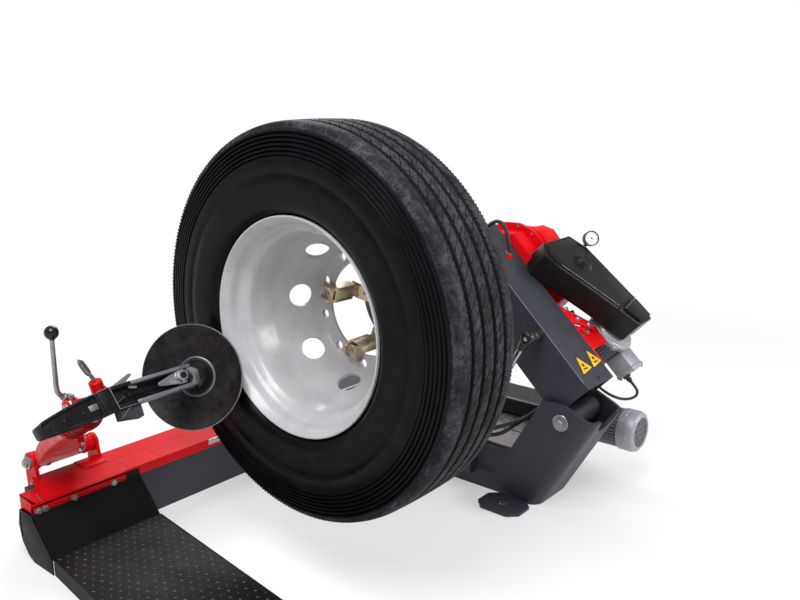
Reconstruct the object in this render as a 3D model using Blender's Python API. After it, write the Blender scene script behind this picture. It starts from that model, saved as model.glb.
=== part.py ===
"""Truck tyre changer with a clamped truck wheel, as separate parts with real joints.

Frame: metres, +Z up, origin on the floor under the chuck axis, in the middle of the arm.
+X runs along the chuck axis, from the operator's side towards the gearbox.
+Y runs from the arm's cradle towards the tool carriage's rail.
"""
import math

import bmesh
import bpy
from mathutils import Matrix, Vector

# ---------------------------------------------------------------- driving dimensions
AXIS_Z = 0.7214            # height of the chuck axis
GAP = 0.0003               # gap between pieces that touch

# wheel (rim 9.00 x 22.5 with a 315/80 tyre); its X values count from the near rim lip
WHEEL_X = -0.9275
RIM_WIDTH = 0.254
BORE_R = 0.1405
STUD_CIRCLE_R = 0.1675
STUD_HOLE_R = 0.013
HAND_HOLE_R = 0.035
TYRE_R = 0.538
WHEEL_STEPS = 32

# chuck
JAW_ANGLE = math.radians(14)
SPINDLE_R = 0.034
CHUCK_FRONT_X = -0.505

# arm: a box tube, long along u, its upper face at +w, measured from the chuck axis
ARM_TILT = math.radians(44)
ARM_X = (-0.118, 0.055)
ARM_U = (-0.524, 0.130)
ARM_W = (-0.052, 0.110)
ARM_WALL = 0.008
PIVOT = Vector((0.0, -0.374, 0.315))
PIVOT_PIN_R = 0.016

# gearbox on the arm's far side, worm and motor axes along w
GEARBOX_X = (0.0553, 0.248)
GEARBOX_R = 0.150
FLANGE_R = 0.168
WORM_X, WORM_U = 0.190, -0.150
MOTOR_X, MOTOR_U = 0.285, -0.375
MOTOR_R = 0.076
COVER_W = (0.115, 0.205)

# base
BEAM_X = (-0.1275, 0.150)
BEAM_Y = (-0.250, 0.6427)
BEAM_H = 0.158
RAIL_X = (-1.300, 0.150)
RAIL_Y = (0.643, 0.803)
RAIL_H = 0.162
CRADLE_X = (-0.140, 0.077)
CRADLE_TOP = 0.374
CRADLE_LEAN = 0.577        # horizontal run of the cradle per metre of height
CRADLE_SHEET = 0.012
LIFT_X = -0.190
LIFT_FOOT = Vector((LIFT_X, 0.0, 0.110))
LIFT_PIN = Vector((LIFT_X, -0.272, 0.584))

# pump set
PUMP_X, PUMP_Z = 0.225, 0.196
PUMP_R = 0.068

# carriage and its foot plate
CARRIAGE_X = (-1.330, -0.640)
CARRIAGE_Y = (0.636, 0.812)
CARRIAGE_TOP = 0.180
STEP_X = (-1.365, -1.012)
STEP_Z = 0.045
STEP_END_Y = -0.220
STEP_SKEW = 0.117          # sideways run of the foot plate per metre towards -Y

# tool arm and tool head
HINGE = Vector((0.0, 0.822, 0.227))
HEAD = Vector((-1.335, 0.290, 0.552))
HEAD_AXIS = Vector((0.0, 0.853, -0.523)).normalized()
BAR_DIR = Vector((0.9925, 0.0640, 0.1045)).normalized()
DISC_CENTRE = Vector((-1.0275, 0.3055, 0.5501))
DISC_R = 0.149
DISC_TILT = math.radians(33)
DISC_RADIAL = Vector((0, DISC_CENTRE.y, DISC_CENTRE.z - AXIS_Z)).normalized()
DISC_FACING = Vector((-1, 0, 0)) * math.cos(DISC_TILT) - DISC_RADIAL * math.sin(DISC_TILT)

# ---------------------------------------------------------------- materials
FINISHES = {
    "red_paint": ((0.60, 0.012, 0.018), 0.30, 0.0),
    "grey_powder_coat": ((0.060, 0.066, 0.080), 0.55, 0.0),
    "black_plastic": ((0.022, 0.020, 0.020), 0.45, 0.0),
    "black_steel": ((0.020, 0.020, 0.024), 0.50, 0.3),
    "bright_steel": ((0.56, 0.56, 0.58), 0.35, 1.0),
    "zinc": ((0.62, 0.62, 0.64), 0.30, 1.0),
    "cast_aluminium": ((0.60, 0.61, 0.64), 0.45, 0.8),
    "jaw_casting": ((0.50, 0.42, 0.28), 0.45, 0.8),
    "rubber": ((0.012, 0.013, 0.015), 0.75, 0.0),
    "rim_paint": ((0.72, 0.71, 0.70), 0.40, 0.0),
    "brass": ((0.66, 0.48, 0.20), 0.35, 1.0),
    "dial_white": ((0.85, 0.85, 0.85), 0.35, 0.0),
}


def material(name):
    """The named finish as a Principled material, made once."""
    found = bpy.data.materials.get(name)
    if found:
        return found
    colour, roughness, metallic = FINISHES[name]
    made = bpy.data.materials.new(name)
    made.use_nodes = True
    shader = made.node_tree.nodes["Principled BSDF"]
    shader.inputs["Base Color"].default_value = (*colour, 1.0)
    shader.inputs["Roughness"].default_value = roughness
    shader.inputs["Metallic"].default_value = metallic
    return made


# ---------------------------------------------------------------- shape tools
def rotation_to(x_axis, z_hint=Vector((0, 0, 1))):
    """A rotation whose local +X is x_axis."""
    x = Vector(x_axis).normalized()
    z = Vector(z_hint) - Vector(z_hint).dot(x) * x
    z.normalize()
    return Matrix((x, z.cross(x), z)).transposed().to_4x4()


def place(origin, x_axis=Vector((1, 0, 0)), z_hint=Vector((0, 0, 1))):
    return Matrix.Translation(origin) @ rotation_to(x_axis, z_hint)


ARM = Matrix.Translation((0, 0, AXIS_Z)) @ Matrix.Rotation(ARM_TILT, 4, "X")
UP_W = ARM.to_3x3() @ Vector((0, 0, 1))


def arm_point(x, u, w):
    return ARM @ Vector((x, u, w))


def finish(name, bm, finish_name, matrix):
    """Write a bmesh to an object, with its faces pointing out and round faces smooth."""
    bmesh.ops.recalc_face_normals(bm, faces=bm.faces)
    mesh = bpy.data.meshes.new(name)
    bm.to_mesh(mesh)
    bm.free()
    mesh.shade_smooth()
    mesh.set_sharp_from_angle(angle=math.radians(35))
    mesh.materials.append(material(finish_name))
    made = bpy.data.objects.new(name, mesh)
    bpy.context.scene.collection.objects.link(made)
    if matrix is not None:
        made.matrix_world = matrix
    return made


def box(name, low, high, finish_name, matrix=None, bevel=0.0):
    """A box between two corners."""
    bm = bmesh.new()
    size = Vector(high) - Vector(low)
    centre = (Vector(high) + Vector(low)) / 2
    bmesh.ops.create_cube(bm, size=1.0, matrix=Matrix.Translation(centre) @ Matrix.Diagonal((*size, 1)))
    if bevel:
        bmesh.ops.bevel(bm, geom=bm.edges[:], offset=bevel, segments=2, affect="EDGES", profile=0.5)
    return finish(name, bm, finish_name, matrix)


def prism(name, outline, low, high, finish_name, along="X", matrix=None):
    """A flat outline pushed along one axis: X takes (y, z) points, Y takes (x, z), Z takes (x, y)."""
    order = {"X": (2, 0, 1), "Y": (0, 2, 1), "Z": (0, 1, 2)}[along]
    bm = bmesh.new()
    rings = []
    for level in (low, high):
        ring = []
        for a, b in outline:
            values = (a, b, level)
            ring.append(bm.verts.new([values[i] for i in order]))
        rings.append(ring)
    bm.faces.new(rings[0])
    bm.faces.new(rings[1])
    for i in range(len(outline)):
        j = (i + 1) % len(outline)
        bm.faces.new((rings[0][i], rings[0][j], rings[1][j], rings[1][i]))
    return finish(name, bm, finish_name, matrix)


def lathe(name, profile, finish_name, matrix=None, steps=24):
    """Turn (axial, radius) points about local X. A profile with no point on the axis is a closed ring."""
    bm = bmesh.new()
    rings = []
    for axial, radius in profile:
        if radius < 1e-6:
            rings.append([bm.verts.new((axial, 0, 0))])
            continue
        ring = []
        for i in range(steps):
            turn = 2 * math.pi * i / steps
            ring.append(bm.verts.new((axial, radius * math.cos(turn), radius * math.sin(turn))))
        rings.append(ring)
    closed = all(len(ring) > 1 for ring in rings)
    pairs = list(zip(rings, rings[1:]))
    if closed:
        pairs.append((rings[-1], rings[0]))
    for first, second in pairs:
        for i in range(steps):
            j = (i + 1) % steps
            corners = [first[i % len(first)], first[j % len(first)], second[j % len(second)], second[i % len(second)]]
            unique = list(dict.fromkeys(corners))
            if len(unique) > 2:
                bm.faces.new(unique)
    return finish(name, bm, finish_name, matrix)


def rod(name, start, end, radius, finish_name, steps=16):
    """A round bar between two points."""
    start, end = Vector(start), Vector(end)
    axis = end - start
    hint = Vector((0, 1, 0)) if abs(axis.normalized().z) > 0.9 else Vector((0, 0, 1))
    length = axis.length
    return lathe(name, [(0, 0), (0, radius), (length, radius), (length, 0)], finish_name,
                 place(start, axis, hint), steps)


def swept_tube(name, points, radius, finish_name, sides=8, smooth=True):
    """A round tube along points, read from a smooth curve through them."""
    route = [Vector(p) for p in points]
    if smooth:
        route = smooth_route(route)
    bm = bmesh.new()
    rings = []
    side = None
    for i, here in enumerate(route):
        ahead = (route[min(i + 1, len(route) - 1)] - route[max(i - 1, 0)]).normalized()
        if side is None:
            side = ahead.orthogonal()
        side = (side - side.dot(ahead) * ahead).normalized()
        other = ahead.cross(side)
        angles = [2 * math.pi * k / sides for k in range(sides)]
        rings.append([bm.verts.new(here + radius * (math.cos(a) * side + math.sin(a) * other)) for a in angles])
    for first, second in zip(rings, rings[1:]):
        for k in range(sides):
            j = (k + 1) % sides
            bm.faces.new((first[k], first[j], second[j], second[k]))
    bm.faces.new(rings[0])
    bm.faces.new(rings[-1])
    return finish(name, bm, finish_name, None)


def smooth_route(route, steps=4):
    """Catmull-Rom points through the route's own points."""
    padded = [2 * route[0] - route[1]] + route + [2 * route[-1] - route[-2]]
    out = []
    for i in range(1, len(padded) - 2):
        a, b, c, d = padded[i - 1:i + 3]
        for k in range(steps):
            t = k / steps
            out.append(0.5 * (2 * b + (c - a) * t + (2 * a - 5 * b + 4 * c - d) * t ** 2
                              + (3 * b - a - 3 * c + d) * t ** 3))
    out.append(route[-1])
    return out


def as_tool(tool):
    tool.hide_render = True
    tool.display_type = "WIRE"


def combine(target, operation, *tools):
    """Cut tools from the target, or join them to it, with live Boolean modifiers."""
    for tool in tools:
        as_tool(tool)
        step = target.modifiers.new(tool.name, "BOOLEAN")
        step.operation = operation
        step.object = tool
        step.solver = "EXACT"
    return target


def cut(target, *tools):
    return combine(target, "DIFFERENCE", *tools)


def join(target, *tools):
    return combine(target, "UNION", *tools)


def circle(radius, count, centre=(0.0, 0.0), start=0.0):
    """Points of a regular polygon."""
    return [(centre[0] + radius * math.cos(start + 2 * math.pi * i / count),
             centre[1] + radius * math.sin(start + 2 * math.pi * i / count)) for i in range(count)]


def arc(centre, radius, start, end, count):
    """Points on an arc, angles in degrees."""
    angles = [math.radians(start + (end - start) * i / (count - 1)) for i in range(count)]
    return [(centre[0] + radius * math.cos(a), centre[1] + radius * math.sin(a)) for a in angles]


# ---------------------------------------------------------------- base
def make_base():
    beam = box("base_beam", (BEAM_X[0], BEAM_Y[0], 0), (BEAM_X[1], BEAM_Y[1], BEAM_H), "grey_powder_coat")
    hollow = box("beam_hollow", (BEAM_X[0] + 0.008, BEAM_Y[0] - 0.05, 0.008),
                 (BEAM_X[1] - 0.008, BEAM_Y[1] - 0.010, BEAM_H - 0.008), "grey_powder_coat")
    cut(beam, hollow)

    plate_y = (-0.185, 0.600)
    plate = box("slide_plate", (-0.108, plate_y[0], BEAM_H + GAP), (0.148, plate_y[1], BEAM_H + 0.010),
                "bright_steel")
    groove = box("slide_plate_groove", (0.016, plate_y[0] - 0.02, BEAM_H + 0.007),
                 (0.026, plate_y[1] + 0.02, BEAM_H + 0.05), "bright_steel")
    cut(plate, groove)

    rail = box("rail", (RAIL_X[0], RAIL_Y[0], 0), (RAIL_X[1], RAIL_Y[1], RAIL_H), "grey_powder_coat")
    rail_hollow = box("rail_hollow", (RAIL_X[0] - 0.05, RAIL_Y[0] + 0.008, 0.008),
                      (RAIL_X[1] - 0.010, RAIL_Y[1] - 0.008, RAIL_H - 0.008), "grey_powder_coat")
    cut(rail, rail_hollow)
    strips = {"rail_strip_front": RAIL_Y[0], "rail_strip_back": RAIL_Y[1] - 0.014}
    for name, y in strips.items():
        box(name, (RAIL_X[0] + 0.02, y, RAIL_H + GAP), (RAIL_X[1] - 0.05, y + 0.014, RAIL_H + 0.008),
            "bright_steel")

    make_feet()
    make_cradle()
    make_pump_set()

    # lift bracket: a lug on the beam's side that holds the lift cylinder's foot
    bracket = prism("lift_bracket", [(-0.045, 0.050), (0.045, 0.050), (0.045, 0.105)]
                    + arc((0.0, 0.110), 0.030, 0, 180, 7) + [(-0.045, 0.105)], -0.158, BEAM_X[0] - GAP,
                    "grey_powder_coat")
    join(bracket, rod("lift_foot_pin", (-0.215, 0, 0.110), (-0.150, 0, 0.110), 0.0110, "zinc"))

    # travel cylinder inside the rail: an open-mouthed barrel
    lathe("travel_barrel", [(0, 0), (0, 0.030), (0.60, 0.030), (0.60, 0.0135), (0.585, 0.0135),
                            (0.585, 0.025), (0.012, 0.025), (0.012, 0)], "black_steel",
          place((-0.350, 0.723, 0.080), (-1, 0, 0)), 16)


def make_feet():
    """Flat foot plates with a floor-bolt hole each."""
    corner = 0.030
    spots = {
        "foot_plate_front": ((-0.262, -0.290), (-0.1403, -0.130)),
        "foot_plate_rear": ((0.1503, -0.120), (0.262, 0.020)),
        "foot_plate_rail": ((-1.240, 0.8033), (-1.120, 0.915)),
        "foot_plate_corner": ((0.020, 0.8033), (0.140, 0.915)),
    }
    for name, (low, high) in spots.items():
        outline = [(low[0] + corner, low[1]), (high[0] - corner, low[1]), (high[0], low[1] + corner),
                   (high[0], high[1] - corner), (high[0] - corner, high[1]), (low[0] + corner, high[1]),
                   (low[0], high[1] - corner), (low[0], low[1] + corner)]
        plate = prism(name, outline, 0, 0.010, "grey_powder_coat", "Z")
        centre = ((low[0] + high[0]) / 2, (low[1] + high[1]) / 2)
        hole = prism(name + "_hole", circle(0.009, 12, centre), -0.01, 0.03, "grey_powder_coat", "Z")
        cut(plate, hole)


def make_cradle():
    """A folded U of sheet that leans away from the beam and holds the arm's pivot between its ears."""
    fold = 0.040
    back = -0.300
    outer = [(CRADLE_X[0], -0.090)]
    outer += arc((CRADLE_X[0] + fold, back + fold), fold, 180, 270, 5)
    outer += arc((CRADLE_X[1] - fold, back + fold), fold, 270, 360, 5)
    outer += [(CRADLE_X[1], -0.090)]
    inner_fold = fold - CRADLE_SHEET
    sheet_y = CRADLE_SHEET * 1.15
    inner = [(CRADLE_X[1] - CRADLE_SHEET, -0.090)]
    inner += arc((CRADLE_X[1] - fold, back + sheet_y + inner_fold), inner_fold, 360, 270, 5)
    inner += arc((CRADLE_X[0] + fold, back + sheet_y + inner_fold), inner_fold, 270, 180, 5)
    inner += [(CRADLE_X[0] + CRADLE_SHEET, -0.090)]
    outline = outer + inner
    bm = bmesh.new()
    rings = []
    for height in (0.0, CRADLE_TOP):
        rings.append([bm.verts.new((x, y - CRADLE_LEAN * height, height)) for x, y in outline])
    bm.faces.new(rings[0])
    bm.faces.new(rings[1])
    for i in range(len(outline)):
        j = (i + 1) % len(outline)
        bm.faces.new((rings[0][i], rings[0][j], rings[1][j], rings[1][i]))
    cradle = finish("cradle", bm, "grey_powder_coat", None)

    # the back wall dips between the ears, the ears' lower front corners stop above the beam's foot
    dip = prism("cradle_dip", [(-0.085, 0.50), (-0.085, 0.352)] + arc((-0.032, 0.335), 0.056, 160, 380, 9)
                + [(0.022, 0.352), (0.022, 0.50)], -0.62, -0.41, "grey_powder_coat", "Y")
    slope = prism("cradle_slope", [(-0.60, 0.50), (-0.60, 0.300), (-0.465, 0.335), (-0.380, 0.3735), (-0.300, 0.50)],
                  CRADLE_X[0] - 0.01, CRADLE_X[1] + 0.01, "grey_powder_coat")
    toe = prism("cradle_toe", [(-0.05, -0.02), (-0.05, 0.072), (-0.122, 0.072), (-0.262, -0.02)],
                CRADLE_X[0] - 0.01, CRADLE_X[1] + 0.01, "grey_powder_coat")
    room = box("cradle_beam_room", (BEAM_X[0] - GAP, BEAM_Y[0] - GAP, -0.01),
               (BEAM_X[1] + GAP, 0.0, BEAM_H + 0.012), "grey_powder_coat")
    bore = rod("cradle_bore", (-0.20, PIVOT.y, PIVOT.z), (0.15, PIVOT.y, PIVOT.z), PIVOT_PIN_R + 2 * GAP,
               "grey_powder_coat", 20)
    cut(cradle, dip, slope, toe, room, bore)

    head = [(-0.160, 0), (-0.160, 0.013), (-0.148, 0.013), (-0.148, 0.027), (CRADLE_X[0] - GAP, 0.027),
            (CRADLE_X[0] - GAP, PIVOT_PIN_R), (0.082, PIVOT_PIN_R), (0.082, 0.025), (0.094, 0.025), (0.094, 0)]
    lathe("pivot_pin", head, "zinc", Matrix.Translation((0, PIVOT.y, PIVOT.z)), 20)


def make_pump_set():
    """Hydraulic power unit beside the beam: motor, fan cover, pump block and oil tank."""
    base = Matrix.Translation((PUMP_X, 0, PUMP_Z)) @ rotation_to((0, -1, 0))
    ribs = 16
    outline = []
    for i in range(ribs):
        turn = 2 * math.pi * i / ribs
        for offset, radius in ((-0.38, PUMP_R - 0.010), (-0.12, PUMP_R), (0.12, PUMP_R), (0.38, PUMP_R - 0.010)):
            angle = turn + offset * 2 * math.pi / ribs
            outline.append((radius * math.cos(angle), radius * math.sin(angle)))
    prism("pump_motor", outline, 0.280, 0.422, "cast_aluminium", "X", base)
    lathe("pump_fan_cover", [(0.4225, 0.0), (0.4225, 0.0690), (0.432, 0.0725), (0.476, 0.0725), (0.487, 0.066),
                             (0.487, 0.0)], "cast_aluminium", base, 24)
    box("pump_block", (PUMP_X - 0.050, -0.2797, PUMP_Z - 0.050), (PUMP_X + 0.050, -0.2003, PUMP_Z + 0.034),
        "cast_aluminium", None, 0.004)
    tank = box("oil_tank", (PUMP_X - 0.0700, -0.2000, 0.050), (PUMP_X + 0.090, 0.150, 0.228), "black_steel",
               None, 0.012)
    box("pump_bracket", (BEAM_X[1] + GAP, -0.180, 0.010), (PUMP_X + 0.080, 0.120, 0.0495), "grey_powder_coat")
    cap = lathe("tank_cap", [(-0.004, 0), (-0.004, 0.020), (0.018, 0.018), (0.018, 0)], "black_steel",
                place((PUMP_X + 0.03, 0.100, 0.2283), (0, 0, 1), (1, 0, 0)), 16)
    join(tank, cap)


# ---------------------------------------------------------------- lift cylinder
def make_lift_cylinder():
    """Barrel on the beam's lug and its rod; the rod stops short of the arm's pin to clear it."""
    axis = LIFT_PIN - LIFT_FOOT
    length = axis.length
    frame = place(LIFT_FOOT, axis, (1, 0, 0))
    barrel = lathe("lift_barrel", [(0.020, 0), (0.020, 0.030), (0.300, 0.030), (0.300, 0.0115), (0.285, 0.0115),
                                   (0.285, 0.024), (0.045, 0.024), (0.045, 0)], "black_steel", frame, 16)
    eye = rod("lift_eye", (LIFT_X - 0.014, 0, LIFT_FOOT.z), (LIFT_X + 0.014, 0, LIFT_FOOT.z), 0.026, "black_steel")
    bore = rod("lift_eye_bore", (LIFT_X - 0.05, 0, LIFT_FOOT.z), (LIFT_X + 0.05, 0, LIFT_FOOT.z), 0.0115,
               "black_steel")
    join(barrel, eye)
    cut(barrel, bore)
    lathe("lift_rod", [(0.150, 0), (0.150, 0.0235), (0.170, 0.0235), (0.170, 0.0100), (length - 0.036, 0.0100),
                       (length - 0.036, 0)], "zinc", frame, 16)


# ---------------------------------------------------------------- arm
def make_arm():
    low = (ARM_X[0], ARM_U[0], ARM_W[0])
    high = (ARM_X[1], ARM_U[1], ARM_W[1])
    arm = box("arm_box", low, high, "grey_powder_coat", ARM)
    hollow = box("arm_hollow", (low[0] + ARM_WALL, low[1] - 0.05, low[2] + ARM_WALL),
                 (high[0] - ARM_WALL, high[1] - 0.010, high[2] - ARM_WALL), "grey_powder_coat", ARM)
    knuckle = rod("arm_knuckle", (ARM_X[0], PIVOT.y, PIVOT.z), (ARM_X[1], PIVOT.y, PIVOT.z), 0.040,
                  "grey_powder_coat", 20)
    pin_bore = rod("arm_pin_bore", (-0.2, PIVOT.y, PIVOT.z), (0.2, PIVOT.y, PIVOT.z), PIVOT_PIN_R + 0.0005,
                   "grey_powder_coat", 20)
    spindle_bore = rod("arm_spindle_bore", (-0.3, 0, AXIS_Z), (0.3, 0, AXIS_Z), SPINDLE_R + 0.002,
                       "grey_powder_coat", 24)
    cut(arm, hollow)
    join(arm, knuckle)
    cut(arm, pin_bore, spindle_bore)

    # cross pin that the lift cylinder pushes on
    lathe("lift_pin", [(-0.205, 0), (-0.205, 0.0100), (-0.200, 0.0220), (-0.150, 0.0220), (-0.145, 0.0130),
                       (ARM_X[0] - GAP, 0.0130), (ARM_X[0] - GAP, 0)], "black_plastic",
          Matrix.Translation((0, LIFT_PIN.y, LIFT_PIN.z)), 20)

    make_gearbox()
    make_belt_drive()
    make_chuck_motor()
    make_gauge_and_hose()


def make_gearbox():
    """Worm gearbox round the spindle, with its flange, worm housing and far cover."""
    low, high = GEARBOX_X
    start = math.pi / 8
    body = prism("gearbox_housing", circle(GEARBOX_R, 8, (0, 0), start), low, high, "red_paint", "X", ARM)
    flange = prism("gearbox_flange", circle(FLANGE_R, 16, (0, 0), start / 2), 0.130, 0.146, "red_paint", "X", ARM)
    worm_box = box("gearbox_worm_box", (0.140, WORM_U - 0.055, -0.125), (high, WORM_U + 0.060, 0.1120),
                   "red_paint", ARM)
    wheel_room = rod("gearbox_wheel_room", (0.155, 0, 0), (0.30, 0, 0), 0.122, "red_paint", 24)
    wheel_room.matrix_world = ARM @ wheel_room.matrix_world
    worm_room = box("gearbox_worm_room", (0.152, WORM_U - 0.040, -0.110), (0.300, WORM_U + 0.060, 0.095),
                    "red_paint", ARM)
    spindle_bore = rod("gearbox_bore", (-0.1, 0, AXIS_Z), (0.3, 0, AXIS_Z), SPINDLE_R + 0.002, "red_paint", 24)
    shaft_bore = lathe("gearbox_shaft_bore", [(0.05, 0), (0.05, 0.0135), (0.20, 0.0135), (0.20, 0)], "red_paint",
                       ARM @ place((WORM_X, WORM_U, 0), (0, 0, 1), (1, 0, 0)), 16)
    join(body, flange, worm_box)
    cut(body, wheel_room, worm_room, spindle_bore, shaft_bore)

    cover = prism("gearbox_cover", circle(GEARBOX_R, 8, (0, 0), start), high + GAP, high + 0.012, "red_paint",
                  "X", ARM)
    lid = box("gearbox_cover_tail", (high + GAP, WORM_U - 0.055, -0.125), (high + 0.012, WORM_U + 0.060, 0.112),
              "red_paint", ARM)
    join(cover, lid)


def make_belt_drive():
    """Worm shaft with its pulley, the motor's pulley, the belt and the long plastic cover over them."""
    worm_frame = ARM @ place((WORM_X, WORM_U, 0), (0, 0, 1), (1, 0, 0))
    lathe("worm_shaft", [(-0.095, 0), (-0.095, 0.012), (-0.055, 0.012), (-0.050, 0.034), (0.050, 0.034),
                         (0.055, 0.012), (0.186, 0.012), (0.186, 0)], "bright_steel", worm_frame, 16)
    pulley_w = (0.140, 0.165)
    lathe("worm_pulley", pulley_profile(0.058, 0.0123, pulley_w), "cast_aluminium", worm_frame, 24)
    motor_frame = ARM @ place((MOTOR_X, MOTOR_U, 0), (0, 0, 1), (1, 0, 0))
    lathe("motor_pulley", [(pulley_w[0], 0), (pulley_w[0], 0.032), (pulley_w[1], 0.032), (pulley_w[1], 0)],
          "cast_aluminium", motor_frame, 20)

    # belt: a closed band round both pulleys
    start, end = Vector((WORM_X, WORM_U)), Vector((MOTOR_X, MOTOR_U))
    heading = math.degrees(math.atan2(end.y - start.y, end.x - start.x))
    clear = 0.0010

    def loop(extra):
        return (arc(tuple(start), 0.058 + extra, heading + 84, heading + 276, 17)
                + arc(tuple(end), 0.032 + extra, heading - 84, heading + 84, 17))
    band = prism("drive_belt", loop(clear + 0.006), 0.143, 0.162, "rubber", "Z", ARM)
    cut(band, prism("drive_belt_inside", loop(clear), 0.13, 0.18, "rubber", "Z", ARM))

    cover = prism("belt_cover", cover_outline(0.0), COVER_W[0], COVER_W[1], "black_plastic", "Z", ARM)
    room = prism("belt_cover_room", cover_outline(0.0035), COVER_W[0] - 0.02, COVER_W[1] - 0.0035,
                 "black_plastic", "Z", ARM)
    boss = lathe("belt_cover_boss", [(COVER_W[1] - 0.002, 0), (COVER_W[1] - 0.002, 0.036),
                                     (COVER_W[1] + 0.018, 0.026), (COVER_W[1] + 0.018, 0)], "black_plastic",
                 worm_frame, 20)
    housing_room = prism("belt_cover_housing_room", circle(GEARBOX_R + 0.002, 8, (0, 0), math.pi / 8),
                         GEARBOX_X[0] - 0.002, GEARBOX_X[1] + 0.014, "black_plastic", "X", ARM)
    flange_room = prism("belt_cover_flange_room", circle(FLANGE_R + 0.002, 16, (0, 0), math.pi / 16), 0.128, 0.148,
                        "black_plastic", "X", ARM)
    cut(cover, room, housing_room, flange_room)
    join(cover, boss)


def pulley_profile(radius, bore, span):
    """A flat-belt pulley turned from solid."""
    return [(span[0], bore), (span[0], radius), (span[1], radius), (span[1], bore)]


def cover_outline(inset):
    """Coffin-shaped outline, wide over the worm pulley and narrow over the motor, as (x, u) points."""
    corners = [(0.022, -0.085), (0.060, -0.038), (0.235, -0.035), (0.290, -0.098), (0.338, -0.330),
               (0.340, -0.428), (0.240, -0.432), (0.190, -0.350), (0.098, -0.215), (0.040, -0.130)]
    if inset == 0.0:
        return corners
    centre = Vector((sum(c[0] for c in corners) / len(corners), sum(c[1] for c in corners) / len(corners)))
    moved = []
    for corner in corners:
        to_centre = centre - Vector(corner)
        moved.append(tuple(Vector(corner) + to_centre.normalized() * inset * 1.3))
    return moved


def make_chuck_motor():
    """Gear motor that hangs beside the arm, its shaft along w under the belt cover."""
    frame = ARM @ place((MOTOR_X, MOTOR_U, 0), (0, 0, 1), (1, 0, 0))
    ribs = 16
    outline = []
    for i in range(ribs):
        turn = 2 * math.pi * i / ribs
        for offset, radius in ((-0.38, MOTOR_R - 0.012), (-0.12, MOTOR_R), (0.12, MOTOR_R),
                               (0.38, MOTOR_R - 0.012)):
            angle = turn + offset * 2 * math.pi / ribs
            outline.append((radius * math.cos(angle), radius * math.sin(angle)))
    motor = prism("chuck_motor", outline, -0.100, 0.078, "cast_aluminium", "X", frame)
    end_bell = lathe("chuck_motor_bell", [(0.070, 0), (0.070, 0.084), (0.088, 0.086), (0.100, 0.070), (0.112, 0.040),
                                          (0.112, 0)], "cast_aluminium", frame, 28)
    join(motor, end_bell)
    lathe("motor_fan_cover", [(-0.1003, 0), (-0.1003, 0.080), (-0.138, 0.080), (-0.148, 0.070), (-0.148, 0)],
          "cast_aluminium", frame, 24)

    terminal_box = box("terminal_box", (0.262, -0.530, -0.008), (0.345, -0.4515, 0.0695), "cast_aluminium", ARM, 0.006)
    gland = arm_point(0.280, -0.5303, 0.020)
    toward = ARM.to_3x3() @ Vector((0, -1, 0))
    nut = lathe("cable_gland", [(-0.002, 0), (-0.002, 0.011), (0.010, 0.011), (0.012, 0.009), (0.026, 0.008),
                                (0.026, 0)], "cast_aluminium", place(gland, toward, (1, 0, 0)), 12)
    join(terminal_box, nut)

    # motor lead: out of the gland, in a low bow, up to the hole in the arm's side
    start = gland + toward * 0.0263
    arm_hole = arm_point(ARM_X[1] + 0.0015, -0.400, 0.002)
    swept_tube("motor_cable", [start, start + toward * 0.020, (0.276, -0.440, 0.323), (0.258, -0.447, 0.315),
                               (0.230, -0.446, 0.312), (0.200, -0.435, 0.313), (0.170, -0.415, 0.322),
                               (0.140, -0.385, 0.345), (0.115, -0.350, 0.382), (0.098, -0.318, 0.420),
                               arm_hole + Vector((0.022, 0, -0.002)), arm_hole], 0.0048, "rubber", 6)

    # flat bracket on the arm's far side that carries the motor, with its belt-tension tab
    bracket = box("motor_bracket", (ARM_X[1] + GAP, -0.470, 0.040), (0.064, -0.230, 0.108), "red_paint", ARM)
    shelf = box("motor_bracket_shelf", (0.060, -0.410, 0.080), (0.1985, -0.340, 0.090), "red_paint", ARM)
    tab = prism("motor_bracket_tab", [(-0.280, 0.085), (-0.215, 0.085), (-0.235, 0.108), (-0.270, 0.108)],
                0.060, 0.120, "red_paint", "X", ARM)
    join(bracket, shelf, tab)


def make_gauge_and_hose():
    """Pressure gauge on its stem behind the cover, and the hose that loops over the arm's head."""
    dial = arm_point(0.300, -0.084, 0.235)
    facing = Vector((-0.62, -0.72, 0.30)).normalized()
    lathe("pressure_gauge", [(-0.024, 0), (-0.024, 0.024), (-0.004, 0.027), (0.002, 0.027), (0.004, 0.024),
                             (0.003, 0)], "dial_white", place(dial, facing), 24)
    foot = arm_point(0.300, -0.084, 0.060)
    swept_tube("gauge_pipe", [foot, arm_point(0.302, -0.084, 0.12), arm_point(0.304, -0.086, 0.17),
                              arm_point(0.308, -0.086, 0.1990)], 0.005, "brass")
    hose = [(-0.020, 0.115, 0.1120), (-0.020, 0.115, 0.122), (-0.025, 0.112, 0.145), (-0.030, 0.100, 0.168), (-0.032, 0.078, 0.180),
            (-0.030, 0.052, 0.172), (-0.022, 0.026, 0.150), (-0.010, 0.006, 0.124), (-0.010, 0.004, 0.1120)]
    swept_tube("arm_hose", [arm_point(*p) for p in hose], 0.0065, "rubber")


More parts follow.
